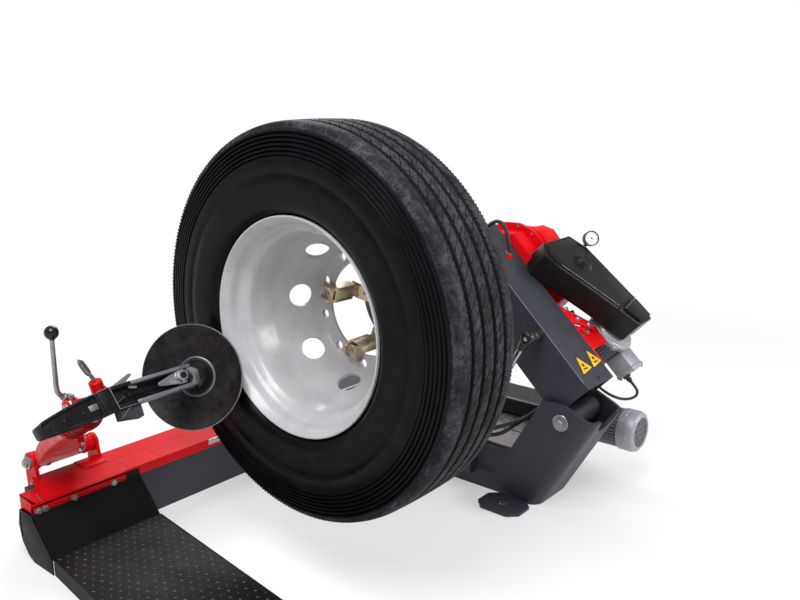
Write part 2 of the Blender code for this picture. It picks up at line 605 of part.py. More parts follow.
# ---------------------------------------------------------------- chuck and wheel
def make_chuck():
    centre = Matrix.Translation((0, 0, AXIS_Z))
    lathe("chuck_body", [(CHUCK_FRONT_X, 0), (CHUCK_FRONT_X, 0.118), (-0.482, 0.124), (-0.470, 0.165),
                         (-0.440, 0.170), (-0.415, 0.125), (-0.300, 0.108), (-0.165, 0.108), (-0.150, 0.090),
                         (-0.1215, 0.090), (-0.1215, 0.070), (-0.165, 0.088), (-0.430, 0.090), (-0.430, 0)],
          "grey_powder_coat", centre, 28)
    lathe("spindle", [(-0.4297, 0), (-0.4297, SPINDLE_R), (0.2440, SPINDLE_R), (0.2440, 0)], "bright_steel",
          centre, 24)
    lathe("worm_wheel", [(0.172, SPINDLE_R + GAP), (0.172, 0.106), (0.180, 0.112), (0.200, 0.112), (0.208, 0.106),
                         (0.208, SPINDLE_R + GAP)], "brass", centre, 24)
    for index in range(4):
        make_jaw(index)
    make_rim()
    make_tyre()


def make_jaw(index):
    """Cast jaw: a foot on the chuck's face and a finger through the rim's bore with an outward lip."""
    turn = JAW_ANGLE + index * math.pi / 2
    frame = Matrix.Translation((0, 0, AXIS_Z)) @ Matrix.Rotation(turn, 4, "X")
    half = 0.024
    outline = [(-0.5055, 0.060), (-0.5055, 0.124), (-0.530, 0.1365), (-0.6380, 0.1365), (-0.6385, 0.156),
               (-0.650, 0.161), (-0.664, 0.157), (-0.677, 0.142), (-0.677, 0.112), (-0.560, 0.100),
               (-0.545, 0.060)]
    bm = bmesh.new()
    rings = [[bm.verts.new((x, r, side)) for x, r in outline] for side in (-half, half)]
    bm.faces.new(rings[0])
    bm.faces.new(rings[1])
    for i in range(len(outline)):
        j = (i + 1) % len(outline)
        bm.faces.new((rings[0][i], rings[0][j], rings[1][j], rings[1][i]))
    return finish("jaw_%d" % (index + 1), bm, "jaw_casting", frame)


def make_rim():
    """Disc wheel: rolled rim, bell-shaped disc with hand holes and stud holes."""
    outside = [(0.000, 0.2900), (0.003, 0.2985), (0.0120, 0.2985), (0.0150, 0.2862), (0.048, 0.2775),
               (0.078, 0.2545)]
    mirrored = [(RIM_WIDTH - x, r) for x, r in reversed(outside)]
    far_inside = [(0.2465, 0.2795), (0.208, 0.2690), (0.182, 0.2475)]
    disc_back = [(0.212, 0.2360), (0.284, 0.1985), (0.302, 0.1880), (0.302, BORE_R)]
    disc_front = [(0.290, BORE_R), (0.290, 0.1830), (0.206, 0.2260), (0.155, 0.2475)]
    near_inside = [(0.078, 0.2475), (0.049, 0.2700), (0.009, 0.2800)]
    profile = outside + mirrored + far_inside + disc_back + disc_front + near_inside
    centre = Matrix.Translation((WHEEL_X, 0, AXIS_Z))
    rim = lathe("rim", profile, "rim_paint", centre, WHEEL_STEPS)
    for i in range(10):
        turn = math.radians(22 + 36 * i)
        y, z = STUD_CIRCLE_R * math.cos(turn), STUD_CIRCLE_R * math.sin(turn)
        hole = rod("rim_stud_hole_%d" % i, (WHEEL_X + 0.27, y, AXIS_Z + z), (WHEEL_X + 0.32, y, AXIS_Z + z),
                   STUD_HOLE_R, "rim_paint", 8)
        cut(rim, hole)
    for i in range(8):
        turn = math.radians(5 + 45 * i)
        out = Vector((0, math.cos(turn), math.sin(turn)))
        middle = Vector((WHEEL_X + 0.238, 0, AXIS_Z)) + 0.2165 * out
        across = Vector((0.46, 0, 0)) + 0.888 * out
        hole = rod("rim_hand_hole_%d" % i, middle - 0.030 * across, middle + 0.030 * across, HAND_HOLE_R,
                   "rim_paint", 12)
        cut(rim, hole)


def make_tyre():
    outer = [(0.0165, 0.2875), (0.0165, 0.2995), (-0.002, 0.3120), (-0.012, 0.3700), (-0.010, 0.4350),
             (0.002, 0.5050), (0.012, 0.5240), (0.032, 0.5350), (0.127, TYRE_R)]
    width = 0.260
    far = [(width - x - 0.006, r) for x, r in reversed(outer[:-1])]
    inner = [(0.205, 0.2785), (0.206, 0.3000), (0.235, 0.3700), (0.218, 0.4900), (0.190, 0.5060),
             (0.064, 0.5060), (0.036, 0.4900), (0.016, 0.3700), (0.048, 0.3000), (0.049, 0.2788)]
    lathe("tyre", outer + far + inner, "rubber", Matrix.Translation((WHEEL_X, 0, AXIS_Z)), WHEEL_STEPS)


# ---------------------------------------------------------------- carriage
def make_carriage():
    """Folded red saddle over the rail, with the hinge lugs of the tool arm on its back edge."""
    sheet = 0.008
    top = CARRIAGE_TOP
    front, back = CARRIAGE_Y
    section = [(front, 0.150), (front, top), (back, top), (back, 0.020), (back - 0.0085, 0.020),
               (back - 0.0085, top - sheet), (front + 0.006, top - sheet), (front + 0.006, 0.150)]
    saddle = prism("carriage", section, CARRIAGE_X[0], CARRIAGE_X[1], "red_paint")
    skew = prism("carriage_skew", [(-1.40, 0.60), (CARRIAGE_X[0], 0.60), (CARRIAGE_X[0], front),
                                   (-1.270, back + 0.002), (-1.270, 0.90), (-1.40, 0.90)], 0.0, 0.30,
                 "red_paint", "Z")
    cut(saddle, skew)
    lug_shape = ([(back - sheet, top - 0.10), (back + 0.034, top - 0.060)]
                 + arc((HINGE.y, HINGE.z), 0.030, -10, 190, 9)
                 + [(back - 0.030, top - 0.004), (back - sheet, top - 0.004)])
    for name, x in (("carriage_lug_left", -1.268), ("carriage_lug_right", -1.062)):
        join(saddle, prism(name, lug_shape, x, x + 0.012, "red_paint"))
    bore = rod("carriage_lug_bore", (-1.35, HINGE.y, HINGE.z), (-1.0, HINGE.y, HINGE.z), 0.0105, "red_paint")
    cut(saddle, bore)

    # lip that closes the saddle's skewed end
    join(saddle, box("carriage_end_lip", (-1.3600, 0.638, 0.1580), (-1.3280, 0.690, 0.1700), "red_paint"))

    # tool hinge pin with its washer and grease nipple
    lathe("tool_hinge_pin", [(-1.292, 0), (-1.292, 0.004), (-1.284, 0.005), (-1.284, 0.012), (-1.276, 0.012),
                             (-1.276, 0.020), (-1.2683, 0.020), (-1.2683, 0.0100), (-1.040, 0.0100), (-1.040, 0)],
          "zinc", Matrix.Translation((0, HINGE.y, HINGE.z)), 16)

    # travel cylinder's rod, fixed to the carriage
    lathe("travel_rod", [(0, 0), (0, 0.0120), (0.620, 0.0120), (0.620, 0.0245), (0.640, 0.0245), (0.640, 0)],
          "zinc", place((-1.330, 0.723, 0.080), (1, 0, 0)), 16)

    make_footplate()


def make_footplate():
    """Checker-plate step: flange under the saddle's front, sloping riser and long skewed tread."""
    front = CARRIAGE_Y[0] - GAP
    thick = 0.004
    left, right = STEP_X
    knee_y = 0.536
    run = knee_y - STEP_END_Y
    shift = -STEP_SKEW * run
    # side view rings from the flange to the tread's end, each as (y, z, x shift)
    path = [(front, 0.172, 0.0), (front, 0.152, 0.0), (knee_y, STEP_Z, 0.0), (STEP_END_Y, STEP_Z, shift)]
    normals = [Vector((-1, 0)), Vector((-0.86, 0.50)), Vector((-0.45, 0.89)), Vector((0, 1))]
    bm = bmesh.new()
    rings = []
    for (y, z, dx), normal in zip(path, normals):
        lift = normal * thick
        ring = []
        for x, ny, nz in ((left + dx, 0, 0), (right + dx, 0, 0), (right + dx, lift.x, lift.y),
                          (left + dx, lift.x, lift.y)):
            ring.append(bm.verts.new((x, y + ny, z + nz)))
        rings.append(ring)
    for first, second in zip(rings, rings[1:]):
        for i in range(4):
            j = (i + 1) % 4
            bm.faces.new((first[i], first[j], second[j], second[i]))
    bm.faces.new(rings[0])
    bm.faces.new(rings[-1])
    plate = finish("footplate", bm, "black_steel", None)

    # down-turned side flanges that carry the tread
    depth = STEP_Z + 0.002
    for name, x in (("step_skirt_left", left), ("step_skirt_right", right - 0.004)):
        skirt_shift = -STEP_SKEW * (0.530 - STEP_END_Y)
        outline = [(x, 0.530), (x + 0.004, 0.530), (x + 0.004 + skirt_shift, STEP_END_Y),
                   (x + skirt_shift, STEP_END_Y)]
        join(plate, prism(name, outline, 0.0, depth, "black_steel", "Z"))


# ---------------------------------------------------------------- tool arm and levers
def make_tool_arm():
    """Welded arm from the hinge tube up to the drum that carries the tool head."""
    tube = lathe("tool_arm", [(-1.2555, 0.0108), (-1.2555, 0.026), (-1.0625, 0.026), (-1.0625, 0.0108)], "red_paint",
                 Matrix.Translation((0, HINGE.y, HINGE.z)), 20)
    drum_at = HEAD + HEAD_AXIS * 0.100
    low = [Vector((-1.245, HINGE.y - 0.006, HINGE.z + 0.021)), Vector((-1.080, HINGE.y - 0.006, HINGE.z + 0.021)),
           Vector((-1.080, HINGE.y - 0.020, HINGE.z - 0.010)), Vector((-1.245, HINGE.y - 0.020, HINGE.z - 0.010))]
    across = Vector((1, 0, 0))
    up = HEAD_AXIS.cross(across)
    far = drum_at + HEAD_AXIS * 0.040
    high = [far + across * -0.042 - up * 0.042, far + across * 0.042 - up * 0.042, far + across * 0.042 + up * 0.042,
            far + across * -0.042 + up * 0.042]
    if (high[0] - low[0]).length > (high[3] - low[0]).length:
        high = [high[3], high[2], high[1], high[0]]
    bm = bmesh.new()
    rings = [[bm.verts.new(p) for p in ring] for ring in (low, high)]
    bm.faces.new(rings[0])
    bm.faces.new(rings[1])
    for i in range(4):
        j = (i + 1) % 4
        bm.faces.new((rings[0][i], rings[0][j], rings[1][j], rings[1][i]))
    web = finish("tool_arm_web", bm, "red_paint", None)
    drum = lathe("tool_arm_drum", [(0.035, 0), (0.035, 0.040), (0.048, 0.040), (0.050, 0.056), (0.064, 0.056),
                                   (0.066, 0.046), (0.165, 0.046), (0.165, 0)], "red_paint",
                 place(HEAD, HEAD_AXIS), 24)
    bore = lathe("tool_arm_bore", [(0.0, 0), (0.0, 0.0185), (0.130, 0.0185), (0.130, 0)], "red_paint",
                 place(HEAD, HEAD_AXIS), 20)
    join(tube, web, drum)
    cut(tube, bore)

    # lugs for the two levers, on the drum's upper side
    join(tube, box("lever_bracket", (-0.030, -0.130, 0.036), (0.100, 0.020, 0.066), "red_paint",
                   place(HEAD + HEAD_AXIS * 0.100, HEAD_AXIS)))


def make_levers():
    ball = Vector((-1.330, 0.484, 0.712))
    bend = Vector((-1.331, 0.484, 0.545))
    foot = Vector((-1.300, 0.484, 0.522))
    lever = swept_tube("ball_lever", [foot, bend + Vector((0.012, 0, -0.008)), bend + Vector((0, 0, 0.010)),
                             ball + Vector((0, 0, -0.0120))], 0.0065, "zinc")
    knob = lathe("lever_knob", [(-0.0176, 0), (-0.0176, 0.010)] + [(-0.019 * math.cos(a), 0.019 * math.sin(a)) for a in
                         [math.radians(d) for d in (50, 75, 100, 125, 150)]] + [(0.019, 0)], "zinc",
                 place(ball, (0, 0, 1), (1, 0, 0)), 16)
    join(lever, knob)

    # release lever beside it: a short bent handle with a round end
    root = Vector((-1.216, 0.484, 0.540))
    top = Vector((-1.262, 0.484, 0.620))
    release = swept_tube("release_lever", [root, root + Vector((-0.006, 0, 0.014)), (root + top) / 2, top], 0.007,
                         "zinc")
    join(release, lathe("release_lever_end", [(-0.012, 0), (-0.009, 0.010), (0.009, 0.010), (0.012, 0)], "zinc",
                        place(top, (0, 0, 1), (1, 0, 0)), 12))


# ---------------------------------------------------------------- tool head
def make_tool_head():
    """Double-ended tool: hook end, U-channel fork with the disc's bearing, flipped about the head axis."""
    frame = Matrix.Translation(HEAD) @ Matrix((BAR_DIR, HEAD_AXIS, BAR_DIR.cross(HEAD_AXIS))).transposed().to_4x4()
    half = 0.040
    channel = box("tool_bar", (-0.060, -0.020, -half), (0.275, 0.022, half), "black_steel", frame)
    trough = box("tool_bar_trough", (0.060, -0.040, -half + 0.011), (0.300, 0.012, half - 0.011), "black_steel",
                 frame)
    hook = prism("tool_bar_hook", [(-0.172, -0.018), (-0.165, -0.024), (-0.120, -0.030), (-0.050, -0.040),
                                   (-0.050, 0.040), (-0.100, 0.030), (-0.150, 0.022), (-0.172, 0.014)],
                 -0.020, 0.022, "black_steel", "Y", frame)
    shaft = lathe("tool_bar_shaft", [(0.010, 0), (0.010, 0.0180), (0.125, 0.0180), (0.125, 0)], "black_steel",
                  place(HEAD, HEAD_AXIS), 20)
    bearing = rod("disc_bearing", DISC_CENTRE + DISC_FACING * 0.0185, DISC_CENTRE + DISC_FACING * 0.075, 0.020,
                  "black_steel")
    cut(channel, trough)
    join(channel, hook, shaft, bearing)


def make_disc():
    """Dished disc on its inclined spindle."""
    frame = place(DISC_CENTRE, DISC_FACING)
    profile = [(0.016, 0), (0.016, 0.012), (0.004, 0.030), (-0.012, 0.045), (-0.032, 0.052), (-0.016, 0.110),
               (0.004, 0.1475), (0.0, DISC_R), (-0.004, 0.1480), (-0.024, 0.105), (-0.040, 0.050), (-0.040, 0)]
    lathe("bead_disc", profile, "black_steel", frame, 28)


# ---------------------------------------------------------------- whole machine
def main():
    for old in list(bpy.data.objects):
        bpy.data.objects.remove(old, do_unlink=True)
    make_base()
    make_lift_cylinder()
    make_arm()
    make_chuck()
    make_carriage()
    make_tool_arm()
    make_levers()
    make_tool_head()
    make_disc()


main()
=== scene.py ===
"""Looks of the truck tyre changer: every visible piece, its material, the light and the camera.

All places are in metres in the CAD model's frame: origin on the floor under the chuck axis,
+X along the chuck axis towards the gearbox, +Y towards the carriage rail, +Z up.
"""
from math import cos, pi, radians, sin, sqrt

import bmesh
import bpy
from mathutils import Matrix, Vector


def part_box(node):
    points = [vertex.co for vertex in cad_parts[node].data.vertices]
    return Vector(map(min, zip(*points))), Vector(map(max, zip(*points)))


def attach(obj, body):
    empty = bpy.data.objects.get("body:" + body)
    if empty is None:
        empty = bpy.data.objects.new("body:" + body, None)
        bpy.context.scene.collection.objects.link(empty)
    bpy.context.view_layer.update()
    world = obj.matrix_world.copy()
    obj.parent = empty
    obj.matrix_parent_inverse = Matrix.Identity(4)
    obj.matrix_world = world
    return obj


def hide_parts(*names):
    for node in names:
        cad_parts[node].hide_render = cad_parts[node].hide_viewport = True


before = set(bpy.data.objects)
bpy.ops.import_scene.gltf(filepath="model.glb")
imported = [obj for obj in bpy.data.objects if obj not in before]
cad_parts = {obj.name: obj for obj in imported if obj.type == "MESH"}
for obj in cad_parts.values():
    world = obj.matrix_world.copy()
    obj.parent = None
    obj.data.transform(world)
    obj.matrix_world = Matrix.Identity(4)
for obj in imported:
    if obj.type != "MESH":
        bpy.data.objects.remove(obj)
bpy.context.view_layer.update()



def spin(degrees, axis="X"):
    """A turn about an axis, in degrees."""
    return Matrix.Rotation(radians(degrees), 4, axis)


def moved(offset):
    """A shift."""
    return Matrix.Translation(offset)


# ---------------------------------------------------------------- places taken from the frame
STAY = Matrix.Identity(4)
AXIS_Z = 0.7214            # height of the chuck's axis
AXIS = Vector((0.0, 0.0, AXIS_Z))
X_AXIS, Y_AXIS, Z_AXIS = Vector((1, 0, 0)), Vector((0, 1, 0)), Vector((0, 0, 1))
ARM = moved(AXIS) @ spin(44)
ARM_TURN = ARM.to_3x3()
UP_W = ARM_TURN @ Z_AXIS
PIVOT = Vector((0.0, -0.374, 0.315))
WHEEL_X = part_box("rim")[0].x
TYRE_R = 0.538
RIM_WIDTH = 0.254
STUD_CIRCLE_R = 0.1675
JAW_ANGLE = radians(14)
HINGE = Vector((0.0, 0.822, 0.227))
HEAD = Vector((-1.335, 0.29, 0.552))
HEAD_AXIS = Vector((0.0, 0.853, -0.523)).normalized()
BAR_DIR = Vector((0.9925, 0.064, 0.1045)).normalized()
HEAD_FRAME = moved(HEAD) @ Matrix((BAR_DIR, HEAD_AXIS, BAR_DIR.cross(HEAD_AXIS))).transposed().to_4x4()
FORK_FRAME = HEAD_FRAME @ moved((0.05, 0, 0)) @ spin(6.3, "Y")
UP_DRUM = X_AXIS.cross(HEAD_AXIS)
LEVER_FRAME = moved(HEAD) @ Matrix((X_AXIS, HEAD_AXIS, UP_DRUM)).transposed().to_4x4()
DISC = Vector((-1.0275, 0.3055, 0.5501))
DISC_R = 0.149
DISC_FACING = Vector((-0.838671, -0.475055, 0.266373)).normalized()
LIFT_FOOT = Vector((-0.19, 0.0, 0.11))
LIFT_PIN = Vector((-0.19, -0.272, 0.584))
PUMP = Vector((0.225, 0.0, 0.196))
MOTOR_X, MOTOR_U = 0.285, -0.375
WORM_X, WORM_U = 0.19, -0.15


def arm_point(x, u, w):
    """World place of a point in the arm's frame: u runs up the arm, w out of its upper face."""
    return ARM @ Vector((x, u, w))


# ---------------------------------------------------------------- material tools
def node(tree, kind, **values):
    """A shader node with its sockets or settings given by name."""
    made = tree.nodes.new(kind)
    for key, value in values.items():
        if key in made.inputs:
            made.inputs[key].default_value = value
        else:
            setattr(made, key, value)
    return made


def ramp(tree, source, stops):
    """A colour ramp fed by a socket; stops are (position, colour)."""
    made = tree.nodes.new("ShaderNodeValToRGB")
    elements = made.color_ramp.elements
    while len(elements) < len(stops):
        elements.new(0.5)
    for element, (place, colour) in zip(elements, stops):
        element.position = place
        element.color = (*colour, 1.0) if len(colour) == 3 else (colour[0], colour[0], colour[0], 1.0)
    tree.links.new(source, made.inputs["Fac"])
    return made.outputs["Color"]


def mix(tree, factor, first, second):
    """Mix two colours; each is a socket or a colour."""
    made = tree.nodes.new("ShaderNodeMix")
    made.data_type = "RGBA"
    for index, value in ((0, factor), (6, first), (7, second)):
        if isinstance(value, bpy.types.NodeSocket):
            tree.links.new(value, made.inputs[index])
        elif index == 0:
            made.inputs[0].default_value = value
        else:
            made.inputs[index].default_value = (*value, 1.0)
    return made.outputs[2]


def maths(tree, operation, first, second=0.0):
    """A Math node; each input is a socket or a number."""
    made = tree.nodes.new("ShaderNodeMath")
    made.operation = operation
    for index, value in ((0, first), (1, second)):
        if isinstance(value, bpy.types.NodeSocket):
            tree.links.new(value, made.inputs[index])
        else:
            made.inputs[index].default_value = value
    return made.outputs[0]


class Surface:
    """A Principled material with object coordinates ready for its textures."""

    def __init__(self, name, metallic=0.0, roughness=0.4, coat=0.0, specular=0.5):
        self.material = bpy.data.materials.new(name)
        self.material.use_nodes = True
        self.tree = self.material.node_tree
        self.shader = self.tree.nodes["Principled BSDF"]
        self.shader.inputs["Metallic"].default_value = metallic
        self.shader.inputs["Roughness"].default_value = roughness
        self.shader.inputs["Coat Weight"].default_value = coat
        self.shader.inputs["Coat Roughness"].default_value = 0.12
        self.shader.inputs["Specular IOR Level"].default_value = specular
        self.place = self.tree.nodes.new("ShaderNodeTexCoord").outputs["Object"]

    def noise(self, scale, detail=4.0, rough=0.6, stretch=None):
        """A noise texture on object coordinates."""
        made = node(self.tree, "ShaderNodeTexNoise", Scale=scale, Detail=detail, Roughness=rough)
        source = self.place
        if stretch:
            mapping = self.tree.nodes.new("ShaderNodeMapping")
            mapping.inputs["Scale"].default_value = stretch
            self.tree.links.new(self.place, mapping.inputs["Vector"])
            source = mapping.outputs["Vector"]
        self.tree.links.new(source, made.inputs["Vector"])
        return made.outputs["Fac"]

    def colour(self, socket):
        self.tree.links.new(socket, self.shader.inputs["Base Color"])

    def roughness(self, socket):
        self.tree.links.new(socket, self.shader.inputs["Roughness"])

    def bump(self, height, strength, distance):
        made = node(self.tree, "ShaderNodeBump", Strength=strength, Distance=distance)
        self.tree.links.new(height, made.inputs["Height"])
        self.tree.links.new(made.outputs["Normal"], self.shader.inputs["Normal"])


def powder_coat(name, colour, grain=900.0, speckle=0.35, roughness=0.5, specular=0.36):
    """Textured powder coat with fine light and dark grains."""
    made = Surface(name, roughness=roughness, specular=specular)
    tree = made.tree
    fine = made.noise(grain, 2.0)
    broad = made.noise(9.0, 5.0)
    light = tuple(min(1.0, c * (1 + speckle) + 0.004) for c in colour)
    dark = tuple(c * (1 - speckle) for c in colour)
    grains = ramp(tree, fine, [(0.35, dark), (0.65, light)])
    patches = ramp(tree, broad, [(0.35, tuple(c * 0.86 for c in colour)),
                                 (0.7, tuple(c * 1.12 for c in colour))])
    base = mix(tree, 0.5, grains, patches)
    scuff = ramp(tree, made.noise(60.0, 6.0, 0.75), [(0.7, (0.0,)), (0.78, (1.0,))])
    worn = mix(tree, maths(tree, "MULTIPLY", scuff, 0.1), base, (0.22, 0.22, 0.24))
    made.colour(worn)
    made.roughness(ramp(tree, broad, [(0.3, (roughness - 0.08,)), (0.7, (roughness + 0.1,))]))
    made.bump(fine, 0.35, 0.0006)
    return made.material


def gloss_paint(name, colour, roughness=0.34, dirt=0.04):
    """Smooth enamel with faint dirt."""
    made = Surface(name, roughness=roughness, specular=0.14)
    tree = made.tree
    broad = made.noise(7.0, 4.0)
    base = ramp(tree, broad, [(0.3, tuple(c * 0.86 for c in colour)),
                              (0.7, tuple(min(1, c * 1.1) for c in colour))])
    smudge = ramp(tree, made.noise(34.0, 7.0, 0.7), [(0.58, (0.0,)), (0.74, (1.0,))])
    made.colour(mix(tree, maths(tree, "MULTIPLY", smudge, dirt), base, (0.05, 0.03, 0.03)))
    made.roughness(ramp(tree, made.noise(24.0, 5.0), [(0.3, (roughness * 0.8,)), (0.75, (roughness * 1.5,))]))
    made.bump(made.noise(260.0, 2.0), 0.1, 0.0008)
    return made.material


def bare_metal(name, colour, roughness=0.3, grain=(1.0, 1.0, 1.0), scale=90.0, bump=0.2, metallic=1.0):
    """Metal with a grain; grain stretches its texture."""
    made = Surface(name, metallic=metallic, roughness=roughness)
    tree = made.tree
    lines = made.noise(scale, 6.0, 0.7, grain)
    made.colour(ramp(tree, lines, [(0.25, tuple(c * 0.72 for c in colour)),
                                   (0.75, tuple(min(1, c * 1.15) for c in colour))]))
    made.roughness(ramp(tree, made.noise(scale * 0.4, 4.0),
                        [(0.3, (roughness * 0.75,)), (0.7, (min(1, roughness * 1.4),))]))
    made.bump(lines, bump, 0.0004)
    return made.material


def plastic(name, colour, roughness=0.4, grain=1200.0, bump=0.12, specular=0.4):
    """Moulded plastic or rubber with a fine grain."""
    made = Surface(name, roughness=roughness, specular=specular)
    tree = made.tree
    broad = made.noise(16.0, 4.0)
    made.colour(ramp(tree, broad, [(0.3, tuple(c * 0.85 for c in colour)),
                                   (0.7, tuple(c * 1.2 for c in colour))]))
    made.roughness(ramp(tree, made.noise(40.0, 4.0),
                        [(0.3, (roughness * 0.85,)), (0.7, (min(1, roughness * 1.2),))]))
    made.bump(made.noise(grain, 2.0), bump, 0.0004)
    return made.material


def wheel_radius(surface):
    """Distance from the wheel's axis, as a socket."""
    tree = surface.tree
    parts = tree.nodes.new("ShaderNodeSeparateXYZ")
    tree.links.new(surface.place, parts.inputs["Vector"])
    up = maths(tree, "SUBTRACT", parts.outputs["Z"], AXIS_Z)
    total = maths(tree, "ADD", maths(tree, "POWER", parts.outputs["Y"], 2.0), maths(tree, "POWER", up, 2.0))
    return maths(tree, "SQRT", total)


def tyre_rubber():
    """Dark smooth side walls and a grey tread, paler from dust patches and from painted top light."""
    made = Surface("tyre_rubber", roughness=0.42, specular=0.11)
    tree = made.tree
    radius = wheel_radius(made)
    tread = ramp(tree, radius, [(0.515, (0.0,)), (0.518, (1.0,))])
    wall = ramp(tree, made.noise(14.0, 6.0, 0.7), [(0.35, (0.0008, 0.0012, 0.0018)),
                                                   (0.75, (0.003, 0.0042, 0.0056))])
    # tread colour: dust patches, plus painted top light that makes the whole tread paler than the rubber of
    # the walls
    dust_and_top_light = ramp(tree, made.noise(60.0, 8.0, 0.8), [(0.36, (0.01, 0.01, 0.014)),
                                                    (0.68, (0.098, 0.094, 0.112))])
    smudge = ramp(tree, made.noise(8.0, 7.0, 0.8, (2.5, 1.0, 1.0)), [(0.44, (0.16,)), (0.6, (1.0,))])
    top = mix(tree, smudge, (0.008, 0.008, 0.011), dust_and_top_light)
    marks = ramp(tree, made.noise(38.0, 9.0, 0.8), [(0.66, (0.0,)), (0.74, (1.0,))])
    marked = mix(tree, maths(tree, "MULTIPLY", marks, 0.05), wall, (0.12, 0.12, 0.14))
    made.colour(mix(tree, tread, marked, top))
    rough_wall = ramp(tree, made.noise(22.0, 5.0), [(0.3, (0.26,)), (0.7, (0.42,))])
    made.roughness(mix(tree, tread, rough_wall, (0.72, 0.72, 0.72)))
    rings = node(tree, "ShaderNodeTexNoise", Scale=1.0, Detail=2.0, noise_dimensions="1D")
    tree.links.new(maths(tree, "MULTIPLY", radius, 420.0), rings.inputs["W"])
    grain = made.noise(420.0, 3.0)
    made.bump(maths(tree, "ADD", rings.outputs["Fac"], maths(tree, "MULTIPLY", grain, 0.5)), 0.22, 0.001)
    return made.material


def rim_paint():
    """Light grey wheel paint, nicked at the lip, stained in patches."""
    made = Surface("rim_paint", roughness=0.3, coat=0.3)
    tree = made.tree
    radius = wheel_radius(made)
    base = ramp(tree, made.noise(10.0, 5.0), [(0.3, (0.39, 0.38, 0.4)), (0.7, (0.5, 0.49, 0.51))])
    lip = ramp(tree, radius, [(0.288, (0.0,)), (0.293, (1.0,))])
    nicks = ramp(tree, made.noise(48.0, 9.0, 0.85), [(0.62, (0.0,)), (0.66, (1.0,))])
    base = mix(tree, maths(tree, "MULTIPLY", lip, maths(tree, "MULTIPLY", nicks, 0.75)), base,
               (0.1, 0.09, 0.08))
    stain = ramp(tree, made.noise(5.0, 6.0, 0.7), [(0.6, (0.0,)), (0.8, (1.0,))])
    base = mix(tree, maths(tree, "MULTIPLY", stain, 0.35), base, (0.42, 0.39, 0.32))
    made.colour(base)
    made.roughness(ramp(tree, made.noise(30.0, 4.0), [(0.3, (0.24,)), (0.7, (0.42,))]))
    made.bump(made.noise(180.0, 3.0), 0.08, 0.0008)
    return made.material


def disc_steel():
    """Oiled black steel with rubber smears."""
    made = Surface("disc_steel", metallic=0.45, roughness=0.3, specular=0.4)
    tree = made.tree
    smears = ramp(tree, made.noise(16.0, 7.0, 0.7), [(0.45, (0.0,)), (0.75, (1.0,))])
    base = ramp(tree, made.noise(60.0, 6.0), [(0.3, (0.008, 0.006, 0.008)), (0.7, (0.026, 0.021, 0.025))])
    made.colour(mix(tree, maths(tree, "MULTIPLY", smears, 0.4), base, (0.085, 0.08, 0.095)))
    made.roughness(ramp(tree, made.noise(24.0, 5.0), [(0.3, (0.24,)), (0.7, (0.46,))]))
    made.bump(made.noise(220.0, 5.0), 0.18, 0.0006)
    return made.material


def worn_black_steel():
    """Black enamel, rubbed to bare metal in places."""
    made = Surface("worn_black_steel", metallic=0.2, roughness=0.36, specular=0.3)
    tree = made.tree
    base = ramp(tree, made.noise(30.0, 6.0), [(0.3, (0.004, 0.004, 0.005)), (0.7, (0.014, 0.013, 0.016))])
    rubbed = ramp(tree, made.noise(38.0, 8.0, 0.75), [(0.66, (0.0,)), (0.78, (0.5,))])
    made.colour(mix(tree, rubbed, base, (0.16, 0.155, 0.165)))
    made.roughness(ramp(tree, made.noise(26.0, 5.0), [(0.3, (0.3,)), (0.7, (0.55,))]))
    made.bump(made.noise(300.0, 4.0), 0.15, 0.0006)
    return made.material


MAT = {
    "powder": powder_coat("powder_coat", (0.03, 0.032, 0.044), 420.0, 0.65),
    "powder_dark": powder_coat("powder_coat_dark", (0.014, 0.014, 0.019), 420.0, 0.6),
    "red": gloss_paint("red_enamel", (0.62, 0.002, 0.006)),
    # darker copy of the red enamel: painted shade on the tool arm's drum ribs, and the dark seam lines on the
    # carriage
    "red_dark": gloss_paint("red_enamel_shaded", (0.26, 0.003, 0.007), 0.3, 0.25),
    "cover": plastic("belt_cover_plastic", (0.0075, 0.0052, 0.0052), 0.3, 500.0, 0.1, 0.24),
    "plastic": plastic("black_plastic", (0.012, 0.012, 0.013), 0.3),
    "grip": plastic("knob_plastic", (0.008, 0.008, 0.009), 0.12, 300.0, 0.03),
    "rubber": plastic("hose_rubber", (0.03, 0.031, 0.036), 0.55, 700.0, 0.25),
    "cable": plastic("cable_rubber", (0.01, 0.01, 0.011), 0.5, 700.0, 0.2),
    "motor": bare_metal("motor_aluminium", (0.36, 0.36, 0.4), 0.44, bump=0.25, scale=150.0, metallic=0.35),
    "zinc": bare_metal("zinc_plate", (0.34, 0.34, 0.37), 0.33, scale=120.0, bump=0.08, metallic=0.85),
    "steel": bare_metal("machined_steel", (0.44, 0.42, 0.43), 0.34, (0.4, 0.04, 1.0), 160.0, 0.25),
    "chrome": bare_metal("chromed_steel", (0.4, 0.39, 0.41), 0.16, scale=60.0, bump=0.03),
    "brass": bare_metal("brass", (0.66, 0.46, 0.18), 0.28),
    "jaw": bare_metal("passivated_casting", (0.62, 0.52, 0.38), 0.34, scale=70.0, bump=0.5),
    # bright metal: bare parts and thin edge lines, among them the painted highlights on the arm's fold and
    # the belt cover's ridges
    "edge": bare_metal("bright_edge_metal", (0.27, 0.27, 0.3), 0.4, scale=80.0, metallic=0.7),
    "tyre": tyre_rubber(),
    "tyre_groove": plastic("tyre_groove_rubber", (0.0022, 0.0022, 0.003), 0.7, 300.0, 0.2),
    "rim": rim_paint(),
    "disc": disc_steel(),
    "black": worn_black_steel(),
    "tread_plate": powder_coat("tread_plate_black", (0.0035, 0.0026, 0.0036), 700.0, 0.4, 0.52, 0.16),
    "tread_dot": bare_metal("tread_dot_steel", (0.1, 0.085, 0.09), 0.45, scale=200.0, metallic=0.5),
    "label": plastic("label_yellow", (0.72, 0.42, 0.01), 0.35, 500.0, 0.03),
    "dial": plastic("dial_face", (0.8, 0.79, 0.8), 0.35, 200.0, 0.02),
}


